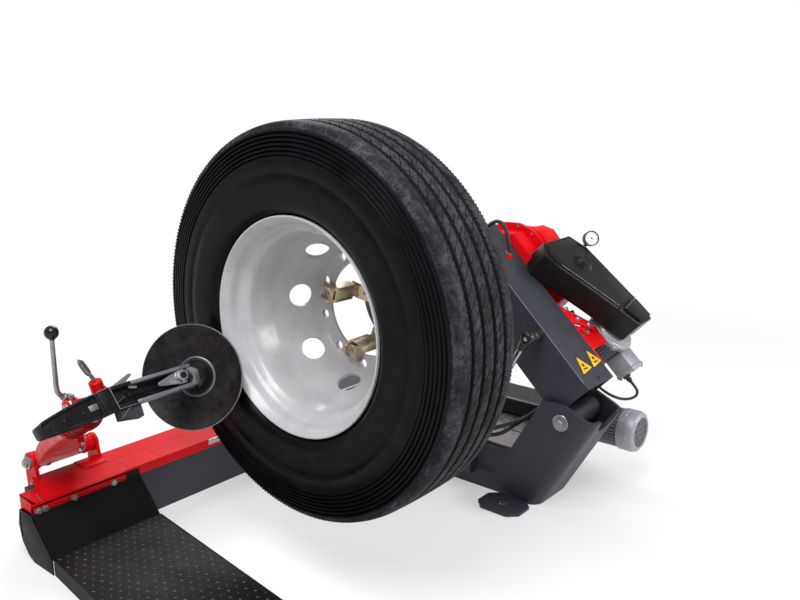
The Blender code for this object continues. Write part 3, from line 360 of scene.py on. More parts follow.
# ---------------------------------------------------------------- shape tools
def basis(origin, x_axis, z_hint=Z_AXIS):
    """A frame at origin whose local +X is x_axis."""
    x = Vector(x_axis).normalized()
    if abs(x.dot(Vector(z_hint).normalized())) > 0.98:
        z_hint = Y_AXIS if abs(x.y) < 0.9 else X_AXIS
    z = (Vector(z_hint) - Vector(z_hint).dot(x) * x).normalized()
    return moved(origin) @ Matrix((x, z.cross(x), z)).transposed().to_4x4()


def arc(centre, radius, start, end, count):
    """Points on an arc, angles in degrees."""
    angles = [radians(start + (end - start) * i / (count - 1)) for i in range(count)]
    return [(centre[0] + radius * cos(a), centre[1] + radius * sin(a)) for a in angles]


def ring_points(radius, count, centre=(0.0, 0.0), start=0.0):
    """Corners of a regular outline."""
    return [(centre[0] + radius * cos(start + a), centre[1] + radius * sin(start + a)) for a in turns(count)]


def turns(count):
    """Angles of a full turn in equal steps."""
    return [2 * pi * k / count for k in range(count)]


def rounded(outline, radius, steps=4):
    """The outline with each corner rounded."""
    out = []
    count = len(outline)
    for i in range(count):
        here = Vector(outline[i])
        before, after = Vector(outline[i - 1]) - here, Vector(outline[(i + 1) % count]) - here
        reach = min(radius, before.length * 0.45, after.length * 0.45)
        first, last = here + before.normalized() * reach, here + after.normalized() * reach
        for k in range(steps + 1):
            t = k / steps
            out.append(tuple((1 - t) ** 2 * first + 2 * t * (1 - t) * here + t * t * last))
    return out


def smooth_route(points, steps=6):
    """Catmull-Rom points through the given ones."""
    route = [Vector(p) for p in points]
    padded = [2 * route[0] - route[1]] + route + [2 * route[-1] - route[-2]]
    out = []
    for i in range(1, len(padded) - 2):
        a, b, c, d = padded[i - 1:i + 3]
        for k in range(steps):
            t = k / steps
            out.append(0.5 * (2 * b + (c - a) * t + (2 * a - 5 * b + 4 * c - d) * t ** 2
                              + (3 * b - a - 3 * c + d) * t ** 3))
    out.append(route[-1])
    return out


def skin(part, rings):
    """Faces between each ring of vertices and the next."""
    for first, second in zip(rings, rings[1:]):
        for i in range(len(first)):
            j = (i + 1) % len(first)
            part.faces.new((first[i], first[j], second[j], second[i]))


class Piece:
    """One visible object, built up from solids in one mesh."""

    def __init__(self, name, body, look, replaces=(), at=None):
        self.name, self.body, self.look, self.replaces = name, body, look, replaces
        self.at = at or STAY
        self.bm = bmesh.new()

    def _take(self, part, matrix=None):
        """Move a part's vertices into place and copy it in."""
        place = self.at @ (matrix or STAY)
        bmesh.ops.transform(part, matrix=place, verts=part.verts)
        bmesh.ops.recalc_face_normals(part, faces=part.faces)
        mesh = bpy.data.meshes.new("part")
        part.to_mesh(mesh)
        part.free()
        self.bm.from_mesh(mesh)
        bpy.data.meshes.remove(mesh)
        return self

    def loft(self, rings, matrix=None, caps=True):
        """Skin a list of equal rings of points."""
        part = bmesh.new()
        made = [[part.verts.new(p) for p in ring] for ring in rings]
        skin(part, made)
        if caps:
            part.faces.new(made[0])
            part.faces.new(made[-1])
        return self._take(part, matrix)

    def box(self, low, high, bevel=0.002, matrix=None):
        """A block between two corners."""
        part = bmesh.new()
        size, centre = Vector(high) - Vector(low), (Vector(high) + Vector(low)) / 2
        bmesh.ops.create_cube(part, size=1.0, matrix=moved(centre) @ Matrix.Diagonal((*size, 1)))
        if bevel:
            bevel = min(bevel, 0.45 * min(size))
            bmesh.ops.bevel(part, geom=part.edges[:], offset=bevel, segments=2, affect="EDGES", profile=0.5)
        return self._take(part, matrix)

    def prism(self, outline, low, high, along="X", bevel=0.0015, matrix=None):
        """An outline pushed along an axis: X takes (y, z), Y takes (x, z), Z takes (x, y)."""
        order = {"X": (2, 0, 1), "Y": (0, 2, 1), "Z": (0, 1, 2)}[along]
        part = bmesh.new()
        rings = []
        for level in (low, high):
            rings.append([part.verts.new([(a, b, level)[i] for i in order]) for a, b in outline])
        caps = [part.faces.new(rings[0]), part.faces.new(rings[1])]
        for i in range(len(outline)):
            j = (i + 1) % len(outline)
            part.faces.new((rings[0][i], rings[0][j], rings[1][j], rings[1][i]))
        if bevel:
            edges = list({e for cap in caps for e in cap.edges})
            edges += [e for e in part.edges if e not in edges and e.calc_face_angle(0) > radians(35)]
            bmesh.ops.bevel(part, geom=edges, offset=bevel, segments=2, affect="EDGES", profile=0.5,
                            clamp_overlap=True)
        return self._take(part, matrix)

    def lathe(self, profile, matrix=None, steps=48):
        """Turn (axial, radius) points about local X."""
        part = bmesh.new()
        rings = []
        for axial, radius in profile:
            if radius < 1e-6:
                rings.append([part.verts.new((axial, 0, 0))])
                continue
            angles = [radians(360.0) * i / steps for i in range(steps)]
            rings.append([part.verts.new((axial, radius * cos(a), radius * sin(a))) for a in angles])
        pairs = list(zip(rings, rings[1:]))
        if all(len(r) > 1 for r in rings):
            pairs.append((rings[-1], rings[0]))
        for first, second in pairs:
            for i in range(steps):
                j = (i + 1) % steps
                corners = [first[i % len(first)], first[j % len(first)], second[j % len(second)],
                           second[i % len(second)]]
                unique = list(dict.fromkeys(corners))
                if len(unique) > 2:
                    part.faces.new(unique)
        return self._take(part, matrix)

    def rod(self, start, end, radius, steps=24):
        """A round bar with chamfered ends."""
        start, end = Vector(start), Vector(end)
        length = (end - start).length
        c = min(radius * 0.12, length * 0.2)
        return self.lathe([(0, 0), (0, radius - c), (c, radius), (length - c, radius), (length, radius - c),
                           (length, 0)], basis(start, end - start), steps)

    def tube(self, points, radius, sides=14, smooth=6, ends=True):
        """A round section swept along points; radius may be a function of the share of the way."""
        route = smooth_route(points, smooth) if smooth else [Vector(p) for p in points]
        rings, side = [], None
        for i, here in enumerate(route):
            ahead = (route[min(i + 1, len(route) - 1)] - route[max(i - 1, 0)]).normalized()
            side = ahead.orthogonal() if side is None else side
            side = (side - side.dot(ahead) * ahead).normalized()
            other = ahead.cross(side)
            angles = turns(sides)
            size = radius(i / (len(route) - 1)) if callable(radius) else radius
            rings.append([here + size * (cos(a) * side + sin(a) * other) for a in angles])
        return self.loft(rings, caps=ends)

    def hexagon(self, at, normal, across, height, turn=0.0):
        """A hexagon head with a chamfered top."""
        r = across / sqrt(3)
        place = basis(at, normal)
        rings = []
        for level, size in ((0, r), (height * 0.8, r), (height, r * 0.86)):
            rings.append([(level, size * cos(turn + pi / 3 * k), size * sin(turn + pi / 3 * k))
                          for k in range(6)])
        return self.loft(rings, place)

    def bolt(self, at, normal, size=0.01, washer=True, turn=0.3):
        """A hexagon bolt head on its washer; size is the thread's diameter."""
        at, normal = Vector(at), Vector(normal).normalized()
        if washer:
            self.lathe([(0, 0), (0, size * 1.05), (size * 0.2, size * 1.0), (size * 0.2, 0)],
                       basis(at, normal), 20)
        return self.hexagon(at + normal * size * 0.18, normal, size * 1.6, size * 0.65, turn)

    def socket_screw(self, at, normal, size=0.008):
        """A socket-head screw; size is the head's height."""
        r = size * 0.75
        return self.lathe([(0, 0), (0, r), (size * 0.85, r), (size, r * 0.88), (size, r * 0.52),
                           (size * 0.5, r * 0.45), (size * 0.5, 0)], basis(at, normal), 18)

    def carve(self, *cutters):
        """Cut closed shapes, each a Piece, out of this one."""
        made = self._object("carved")
        for cutter in cutters:
            tool = cutter._object("cutter")
            step = made.modifiers.new("cut", "BOOLEAN")
            step.operation, step.object, step.solver = "DIFFERENCE", tool, "EXACT"
            bpy.context.view_layer.update()
            mesh = bpy.data.meshes.new_from_object(made.evaluated_get(bpy.context.evaluated_depsgraph_get()))
            made.modifiers.clear()
            made.data = mesh
            bpy.data.objects.remove(tool)
        self.bm = bmesh.new()
        self.bm.from_mesh(made.data)
        bpy.data.objects.remove(made)
        return self

    def _object(self, name):
        mesh = bpy.data.meshes.new(name)
        self.bm.to_mesh(mesh)
        made = bpy.data.objects.new(name, mesh)
        bpy.context.scene.collection.objects.link(made)
        return made

    def done(self, angle=32.0):
        """Write the object, shade it, give it its material and let it ride."""
        made = self._object(self.name)
        self.bm.free()
        made.data.shade_smooth()
        made.data.set_sharp_from_angle(angle=radians(angle))
        made.data.materials.append(MAT[self.look])
        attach(made, self.body)
        if self.replaces:
            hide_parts(*self.replaces)
        return made


# ---------------------------------------------------------------- wheel
TREAD_ROWS = 8             # rows across each rib's top
PITCHES = 96
SIPE_SLANT = -1.0
GROOVES = (0.06, 0.104, 0.15, 0.194)
GROOVE_HALF = 0.0072


def tread_height(x):
    """Radius of the tread's crown at x, counted from the near rim lip."""
    across = abs(x - 0.127) / 0.115
    return TYRE_R - 0.003 * across ** 2 - 0.01 * max(0.0, across - 0.82) ** 1.5 * 6


def build_tyre():
    """Truck tyre: ribbed tread with slanted sipes, ringed shoulders and a bulged lower wall."""
    wall = [(0.0165, 0.2875), (0.016, 0.299), (0.008, 0.304), (-0.002, 0.312), (-0.0075, 0.323),
            (-0.01, 0.34), (-0.0118, 0.36), (-0.0122, 0.385), (-0.012, 0.4), (-0.0108, 0.402),
            (-0.0106, 0.41), (-0.0116, 0.412), (-0.0104, 0.434), (-0.0082, 0.448)]
    rings = []
    for k in range(6):
        r = 0.4505 + 0.0112 * k
        x = -0.0078 + 0.002 * k
        rings += [(x + 0.003, r), (x - 0.0024, r + 0.002), (x - 0.002, r + 0.0068), (x + 0.0034, r + 0.0092)]
    shoulder = [(0.0056, 0.5178), (0.009, 0.5225)]
    near = wall + rings + shoulder
    rows = [(x, r, 0.0, 0) for x, r in near]
    edge = 0.0125
    lanes = [edge] + [g + s * GROOVE_HALF for g in GROOVES for s in (-1, 1)] + [RIM_WIDTH - edge]
    for rib in range(5):
        left, right = lanes[2 * rib], lanes[2 * rib + 1]
        if rib:
            rows.append((left - 0.0022, tread_height(left) - 0.016, 0.0, 0))
        for k in range(TREAD_ROWS):
            t = k / (TREAD_ROWS - 1)
            x = left + (right - left) * t
            drop = 0.0012 if k in (0, TREAD_ROWS - 1) else 0.0
            rows.append((x, tread_height(x) - drop, t, rib + 1))
        if rib < 4:
            rows.append((right + 0.0022, tread_height(right) - 0.016, 0.0, 0))
    rows += [(RIM_WIDTH - x, r, 0.0, 0) for x, r in reversed(near)]
    inside = [(0.237, 0.2875), (0.206, 0.279), (0.206, 0.3), (0.233, 0.37), (0.218, 0.49), (0.19, 0.506),
              (0.064, 0.506), (0.036, 0.49), (0.018, 0.37), (0.048, 0.3), (0.048, 0.279)]
    rows += [(x, r, 0.0, 0) for x, r in inside[1:]]
    cuts = ((0.0, 0), (0.018, 1), (0.085, 1), (0.103, 0), (0.33, 0), (0.5, 0), (0.515, 2), (0.565, 2),
            (0.58, 0), (0.8, 0))
    pitch = 2 * pi / PITCHES
    bm = bmesh.new()
    rings_made, sinks = [], []
    for x, r, t, rib in rows:
        ring, sunk_by = [], []
        for p in range(PITCHES):
            for share, kind in cuts:
                angle = (p + share) * pitch
                depth, shift = 0.0, 0.0
                if rib in (2, 4):
                    angle += (t - 0.5) * SIPE_SLANT * pitch
                    depth = 0.007 if kind == 1 else 0.0
                elif rib == 3:
                    angle += (t - 0.5) * SIPE_SLANT * pitch
                    depth = 0.0065 if kind == 1 and t < 0.55 or kind == 2 and t > 0.45 else 0.0
                elif rib in (1, 5):
                    inner = t > 0.86 if rib == 1 else t < 0.14
                    depth = 0.004 if kind and inner else 0.0
                if rib and t in (0.0, 1.0):
                    shift = 0.0009 * sin(2 * pi * (share + p) * 2)
                rr = r - depth
                ring.append(bm.verts.new((WHEEL_X + x + shift, rr * cos(angle), AXIS_Z + rr * sin(angle))))
                sunk_by.append(depth)
        rings_made.append(ring)
        sinks.append(sunk_by)
    count = PITCHES * len(cuts)
    last_tread = max(k for k, row in enumerate(rows) if row[3])
    first_tread = min(k for k, row in enumerate(rows) if row[3])
    for k in range(len(rows)):
        first, second = rings_made[k], rings_made[(k + 1) % len(rows)]
        groove = first_tread <= k < last_tread and 0 in (rows[k][3], rows[k + 1][3])
        for i in range(count):
            j = (i + 1) % count
            face = bm.faces.new((first[i], first[j], second[j], second[i]))
            sunk = max(sinks[k][i], sinks[k][j]) > 0.0
            face.material_index = 1 if groove or sunk else 0
    tyre = Piece("tyre_shell", "chuck", "tyre", ("tyre",))
    bmesh.ops.recalc_face_normals(bm, faces=bm.faces)
    tyre.bm = bm
    made = tyre.done(38)
    made.data.materials.append(MAT["tyre_groove"])

    # fine serration round both shoulders
    teeth = Piece("tyre_shoulder_teeth", "chuck", "tyre")
    total = 300
    for side in (0, 1):
        for i in range(total):
            turn = moved(AXIS) @ Matrix.Rotation(2 * pi * i / total, 4, "X")
            x = WHEEL_X + (0.008 if side == 0 else RIM_WIDTH - 0.008)
            out = -1 if side == 0 else 1
            points = [(x + out * 0.0022, 0.517, -0.002), (x + out * 0.0022, 0.517, 0.002),
                      (x - out * 0.0022, 0.53, 0.002), (x - out * 0.0022, 0.53, -0.002)]
            inner = [(px - out * 0.004, r - 0.003, s) for px, r, s in points]
            teeth.loft([points, inner], turn)
    teeth.done(30)


def build_rim():
    """Tubeless disc wheel with rolled lip, bead seat, well, bell disc, hand holes and stud holes."""
    near = [(0.005, 0.2905), (0.001, 0.2945), (0.0015, 0.2975), (0.005, 0.299), (0.01, 0.2985),
            (0.013, 0.2955), (0.0142, 0.29), (0.015, 0.2862), (0.03, 0.283), (0.048, 0.2775), (0.056, 0.27),
            (0.064, 0.26), (0.072, 0.256), (0.08, 0.2545)]
    far = [(RIM_WIDTH - x, r) for x, r in reversed(near)]
    far_inside = [(0.2465, 0.283), (0.238, 0.2795), (0.208, 0.272), (0.201, 0.265), (0.193, 0.254),
                  (0.184, 0.248)]
    back = [(0.196, 0.244), (0.212, 0.236), (0.245, 0.219), (0.27, 0.205), (0.284, 0.197), (0.295, 0.19),
            (0.301, 0.183), (0.302, 0.175), (0.302, 0.142), (0.301, 0.1405)]
    front = [(0.291, 0.1405), (0.29, 0.142), (0.29, 0.175), (0.288, 0.181), (0.282, 0.186), (0.268, 0.194),
             (0.242, 0.208), (0.206, 0.226), (0.186, 0.236), (0.17, 0.242), (0.156, 0.2462), (0.14, 0.2472)]
    inside = [(0.08, 0.2475), (0.073, 0.249), (0.066, 0.253), (0.057, 0.264), (0.05, 0.271), (0.04, 0.2745),
              (0.028, 0.2762), (0.02, 0.279), (0.012, 0.285)]
    rim = Piece("rim_shell", "chuck", "rim", ("rim",), moved((WHEEL_X, 0, AXIS_Z)))
    rim.lathe(near + far + far_inside + back + front + inside, None, 160)
    cutters = []
    for i in range(10):
        turn = radians(22 + 36 * i)
        out = Vector((0, cos(turn), sin(turn)))
        cutter = Piece("stud_hole", "chuck", "rim")
        cutter.rod(Vector((WHEEL_X + 0.27, 0, AXIS_Z)) + STUD_CIRCLE_R * out,
                   Vector((WHEEL_X + 0.32, 0, AXIS_Z)) + STUD_CIRCLE_R * out, 0.013, 24)
        cutters.append(cutter)
    marks = []
    for i in range(8):
        turn = radians(5 + 45 * i)
        out = Vector((0, cos(turn), sin(turn)))
        middle = Vector((WHEEL_X + 0.238, 0, AXIS_Z)) + 0.2165 * out
        across = (Vector((0.46, 0, 0)) + 0.888 * out).normalized()
        marks.append((middle, across))
        cutter = Piece("hand_hole", "chuck", "rim")
        cutter.rod(middle - 0.03 * across, middle + 0.03 * across, 0.035, 40)
        cutters.append(cutter)
    rim.carve(*cutters)
    rim.done(30)

    # pressed edge round each hand hole
    lips = Piece("rim_hole_lips", "chuck", "rim")
    for middle, across in marks:
        side = across.cross(X_AXIS).normalized()
        other = across.cross(side)
        ring = [middle - across * 0.0045 + 0.0358 * (cos(a) * side + sin(a) * other) for a in turns(40)
                + [2 * pi]]
        lips.tube(ring, 0.0016, 8, 0, False)
    lips.done(60)


def build_chuck():
    """Hydraulic chuck: flanged bell, four slide ways and cast jaws."""
    bell = Piece("chuck_bell", "chuck", "powder_dark", ("chuck_body",), moved(AXIS))
    bell.lathe([(-0.505, 0), (-0.505, 0.09), (-0.502, 0.112), (-0.498, 0.118), (-0.482, 0.122),
                (-0.472, 0.15), (-0.468, 0.16), (-0.462, 0.164), (-0.444, 0.164), (-0.438, 0.158),
                (-0.428, 0.132), (-0.405, 0.118), (-0.3, 0.108), (-0.172, 0.108), (-0.162, 0.104),
                (-0.155, 0.092), (-0.1215, 0.09), (-0.1215, 0.07), (-0.165, 0.086), (-0.43, 0.088),
                (-0.43, 0)], None, 72)
    for k in range(4):
        turn = Matrix.Rotation(JAW_ANGLE + k * pi / 2, 4, "X")
        bell.box((-0.5052, 0.05, -0.036), (-0.47, 0.16, -0.0245), 0.002, turn)
        bell.box((-0.5052, 0.05, 0.0245), (-0.47, 0.16, 0.036), 0.002, turn)
        between = Matrix.Rotation(JAW_ANGLE + (k + 0.5) * pi / 2, 4, "X")
        bell.prism([(-0.43, 0.1), (-0.2, 0.1), (-0.2, 0.112), (-0.43, 0.15)], -0.006, 0.006, "Z", 0.001,
                   between)
    bell.done()
    bolts = Piece("chuck_bolts", "chuck", "zinc", (), moved(AXIS))
    for k in range(8):
        angle = JAW_ANGLE + pi / 8 + k * pi / 4
        out = Vector((0, cos(angle), sin(angle)))
        bolts.bolt(out * 0.146 + Vector((-0.4655, 0, 0)), -X_AXIS, 0.01)
        bolts.bolt(out * 0.098 + Vector((-0.1545, 0, 0)), X_AXIS, 0.008)
    bolts.done()
    for k in range(4):
        build_jaw(k)


def build_jaw(index):
    """One clamping jaw with its hook, and its screws."""
    turn = JAW_ANGLE + index * pi / 2
    place = moved(AXIS) @ Matrix.Rotation(turn, 4, "X")
    half = 0.0235
    jaw = Piece("jaw_casting_%d" % (index + 1), "jaw_%d" % (index + 1), "jaw", ("jaw_%d" % (index + 1),),
                place)
    foot = rounded([(-0.5056, 0.06), (-0.5056, 0.122), (-0.53, 0.1345), (-0.56, 0.1345), (-0.56, 0.1),
                    (-0.548, 0.06)], 0.005)
    jaw.prism(foot, -half, half, "Z", 0.003)
    jaw.prism(rounded([(-0.545, 0.101), (-0.545, 0.1345), (-0.6375, 0.1345), (-0.6375, 0.12),
                       (-0.655, 0.108)], 0.004), -0.014, 0.014, "Z", 0.003)
    for side in (-1, 1):
        low, high = sorted((side * 0.0145, side * half))
        jaw.prism(rounded([(-0.575, 0.105), (-0.575, 0.134), (-0.6375, 0.134), (-0.6385, 0.154),
                           (-0.648, 0.16), (-0.662, 0.157), (-0.676, 0.143), (-0.676, 0.116), (-0.65, 0.106)],
                          0.004), low, high, "Z", 0.0025)
    jaw.box((-0.666, 0.114, -0.016), (-0.64, 0.146, 0.016), 0.003)
    jaw.done(40)
    pins = Piece("jaw_screws_%d" % (index + 1), "jaw_%d" % (index + 1), "zinc", (), place)
    for r in (0.08, 0.108):
        pins.socket_screw((-0.549 if r < 0.1 else -0.56, r, 0.0), -X_AXIS, 0.008)
    pins.lathe([(0, 0), (0, 0.007), (0.004, 0.007), (0.005, 0.006), (0.005, 0)],
               basis((-0.664, 0.13, 0), (-1, 0.25, 0)), 20)
    pins.done()


# ---------------------------------------------------------------- arm
def build_arm():
    """Folded box arm with its knuckle, painted highlight on the fold, bearing plate, plug, labels and cross
    pin.
    """
    low, high = Vector((-0.118, -0.524, -0.052)), Vector((0.055, 0.13, 0.11))
    outline = rounded([(low.x, low.z), (high.x, low.z), (high.x, high.z), (low.x, high.z)], 0.007, 4)
    wall = 0.007
    inner = rounded([(low.x + wall, low.z + wall), (high.x - wall, low.z + wall),
                     (high.x - wall, high.z - wall), (low.x + wall, high.z - wall)], 0.005, 4)
    arm = Piece("arm_tube", "chuck_arm", "powder", ("arm_box",), ARM)
    outer_rings = [[(x, u, w) for x, w in outline] for u in (low.y, high.y)]
    inner_rings = [[(x, u, w) for x, w in inner] for u in (high.y - wall, low.y)]
    part = bmesh.new()
    rings = [[part.verts.new(p) for p in ring] for ring in (inner_rings[0], inner_rings[1], outer_rings[0],
            outer_rings[1])]
    skin(part, rings)
    part.faces.new(rings[0])
    part.faces.new(rings[-1])
    arm._take(part)
    arm.done(28)

    knuckle = Piece("arm_knuckle", "chuck_arm", "powder_dark")
    knuckle.lathe([(-0.1175, 0.0175), (-0.1175, 0.038), (-0.115, 0.04), (0.052, 0.04), (0.0545, 0.038),
                   (0.0545, 0.0175)], moved((0, PIVOT.y, PIVOT.z)), 40)
    knuckle.at = ARM
    knuckle.box((-0.112, -0.52, -0.045), (-0.09, -0.47, 0.03), 0.003)
    knuckle.box((0.027, -0.52, -0.045), (0.049, -0.47, 0.03), 0.003)
    knuckle.done()

    # painted highlight: a bright line along the fold towards the wheel
    line = Piece("arm_fold_highlight", "chuck_arm", "edge", (), ARM)
    line.tube([(low.x + 0.0014, -0.5 + 0.1 * k, high.z - 0.0014) for k in range(7)], 0.0014, 8, 0)
    line.done()

    # bearing plate and ring behind the chuck, on the wheel side of the arm
    plate = Piece("arm_bearing_plate", "chuck_arm", "powder_dark", (), ARM)
    plate.lathe([(low.x - 0.001, 0.045), (low.x - 0.003, 0.048), (low.x - 0.003, 0.062),
                 (low.x + 0.002, 0.064), (low.x + 0.002, 0.045)], None, 48)
    plate.done()

    # red bolt head on the upper face and the black plug near the lower end
    heads = Piece("arm_red_bolt", "chuck_arm", "red", (), ARM)
    heads.lathe([(0, 0), (0, 0.0115), (0.002, 0.012), (0.003, 0.0105), (0.003, 0)],
                basis((-0.013, -0.01, high.z), Z_AXIS), 24)
    heads.hexagon(Vector((-0.013, -0.01, high.z + 0.003)), Z_AXIS, 0.015, 0.006)
    heads.done()
    plugs = Piece("arm_plug", "chuck_arm", "plastic", (), ARM)
    plugs.lathe([(0, 0), (0, 0.0075), (0.0015, 0.0075), (0.0025, 0.006), (0.0025, 0)],
                basis((-0.028, -0.505, high.z), Z_AXIS), 20)
    plugs.done()
    build_labels(high.z)
    build_cross_pin()


def build_labels(top):
    """Two blank warning triangles, each with a plain dark border, dot and bar."""
    for index, (x, u) in enumerate(((-0.057, -0.452), (0.018, -0.446))):
        size = 0.045
        corners = [(x + size * cos(radians(a)), u + size * sin(radians(a))) for a in (98, 218, 338)]
        edge = Piece("label_edge_%d" % index, "chuck_arm", "plastic", (), ARM)
        edge.prism(rounded(corners, 0.004), top + 0.0001, top + 0.0004, "Z", 0)
        edge.done()
        inner = [((cx - x) * 0.84 + x, (cu - u) * 0.84 + u) for cx, cu in corners]
        face = Piece("label_face_%d" % index, "chuck_arm", "label", (), ARM)
        face.prism(rounded(inner, 0.003), top + 0.0004, top + 0.0008, "Z", 0)
        face.done()
        dot = Piece("label_dot_%d" % index, "chuck_arm", "plastic", (), ARM)
        dot.prism(ring_points(0.0058, 20, (x, u + 0.005)), top + 0.0008, top + 0.0011, "Z", 0)
        dot.box((x - 0.011, u - 0.011, top + 0.0008), (x + 0.011, u - 0.006, top + 0.0011), 0)
        dot.done()


def build_cross_pin():
    """Black boot on the arm's cross pin with its bright grease nipple and the cylinder's rod eye."""
    pin = Vector((0, LIFT_PIN.y, LIFT_PIN.z))
    boot = Piece("cross_pin_boot", "chuck_arm", "plastic", ("lift_pin",), moved(pin))
    boot.lathe([(-0.2055, 0), (-0.2055, 0.012), (-0.204, 0.018), (-0.199, 0.022), (-0.172, 0.0225),
                (-0.169, 0.0205), (-0.166, 0.0215), (-0.148, 0.0215), (-0.144, 0.019), (-0.119, 0.0185),
                (-0.119, 0)], None, 36)
    axis = (LIFT_FOOT - LIFT_PIN).normalized()
    boot.at = STAY
    boot.tube([LIFT_PIN + axis * 0.012, LIFT_PIN + axis * 0.03, LIFT_PIN + axis * 0.044],
              lambda t: 0.0185 - 0.004 * t, 24, 3)
    boot.done(40)
    nipple = Piece("cross_pin_nipple", "chuck_arm", "chrome", (), moved(pin))
    nipple.lathe([(-0.214, 0), (-0.214, 0.003), (-0.211, 0.0038), (-0.208, 0.007), (-0.2053, 0.0078),
                  (-0.2053, 0)], None, 18)
    nipple.done()


def build_gearbox():
    """Red worm gearbox: octagonal housing with a bolted flange, worm housing and raised top box."""
    start = pi / 8
    box_piece = Piece("gearbox_shell", "chuck_arm", "red", ("gearbox_housing",), ARM)
    box_piece.prism(ring_points(0.15, 8, (0, 0), start), 0.0556, 0.2478, "X", 0.004)
    box_piece.box((0.14, -0.205, -0.125), (0.2478, -0.09, 0.112), 0.006)
    box_piece.done(30)
    flange = Piece("gearbox_flange", "chuck_arm", "red", (), ARM)
    flange.prism(rounded(ring_points(0.1678, 16, (0, 0), pi / 16), 0.01), 0.1305, 0.1378, "X", 0.001)
    flange.prism(rounded(ring_points(0.1672, 16, (0, 0), pi / 16), 0.01), 0.1386, 0.1455, "X", 0.001)
    flange.done()
    raised = Piece("gearbox_top_box", "chuck_arm", "red", (), ARM)
    raised.prism([(-0.04, 0.12), (0.075, 0.1), (0.06, 0.15), (0.02, 0.172), (-0.036, 0.168)], 0.15, 0.246,
                 "X", 0.004)
    raised.done()
    lid = Piece("gearbox_lid", "chuck_arm", "red", ("gearbox_cover",), ARM)
    lid.prism(rounded(ring_points(0.1495, 8, (0, 0), start), 0.012), 0.2484, 0.257, "X", 0.0015)
    lid.box((0.2484, -0.2045, -0.1245), (0.257, -0.09, 0.1115), 0.003)
    lid.lathe([(0.257, 0), (0.257, 0.062), (0.26, 0.06), (0.26, 0)], None, 48)
    lid.done()
    screws = Piece("gearbox_screws", "chuck_arm", "zinc", (), ARM)
    for k in range(16):
        angle = pi / 8 * (k + 0.5)
        if not (radians(80) < angle < radians(200)):
            out = Vector((0, cos(angle), sin(angle)))
            screws.bolt(out * 0.157 + Vector((0.1305, 0, 0)), -X_AXIS, 0.006, False)
            screws.bolt(out * 0.157 + Vector((0.1455, 0, 0)), X_AXIS, 0.006, False)
    for k in range(8):
        angle = pi / 4 * k + 0.2
        screws.bolt(Vector((0.257, 0.128 * cos(angle), 0.128 * sin(angle))), X_AXIS, 0.007)
    screws.done()


def cover_outline():
    """Belt cover seen along the motor's shaft, as (x, u) points."""
    return [(0.022, -0.085), (0.06, -0.038), (0.235, -0.035), (0.29, -0.098), (0.338, -0.33), (0.34, -0.428),
            (0.24, -0.432), (0.19, -0.35), (0.098, -0.215), (0.04, -0.13)]


def scaled(outline, factor, centre):
    """The outline made larger or smaller about a centre."""
    return [((x - centre[0]) * factor + centre[0], (y - centre[1]) * factor + centre[1]) for x, y in outline]


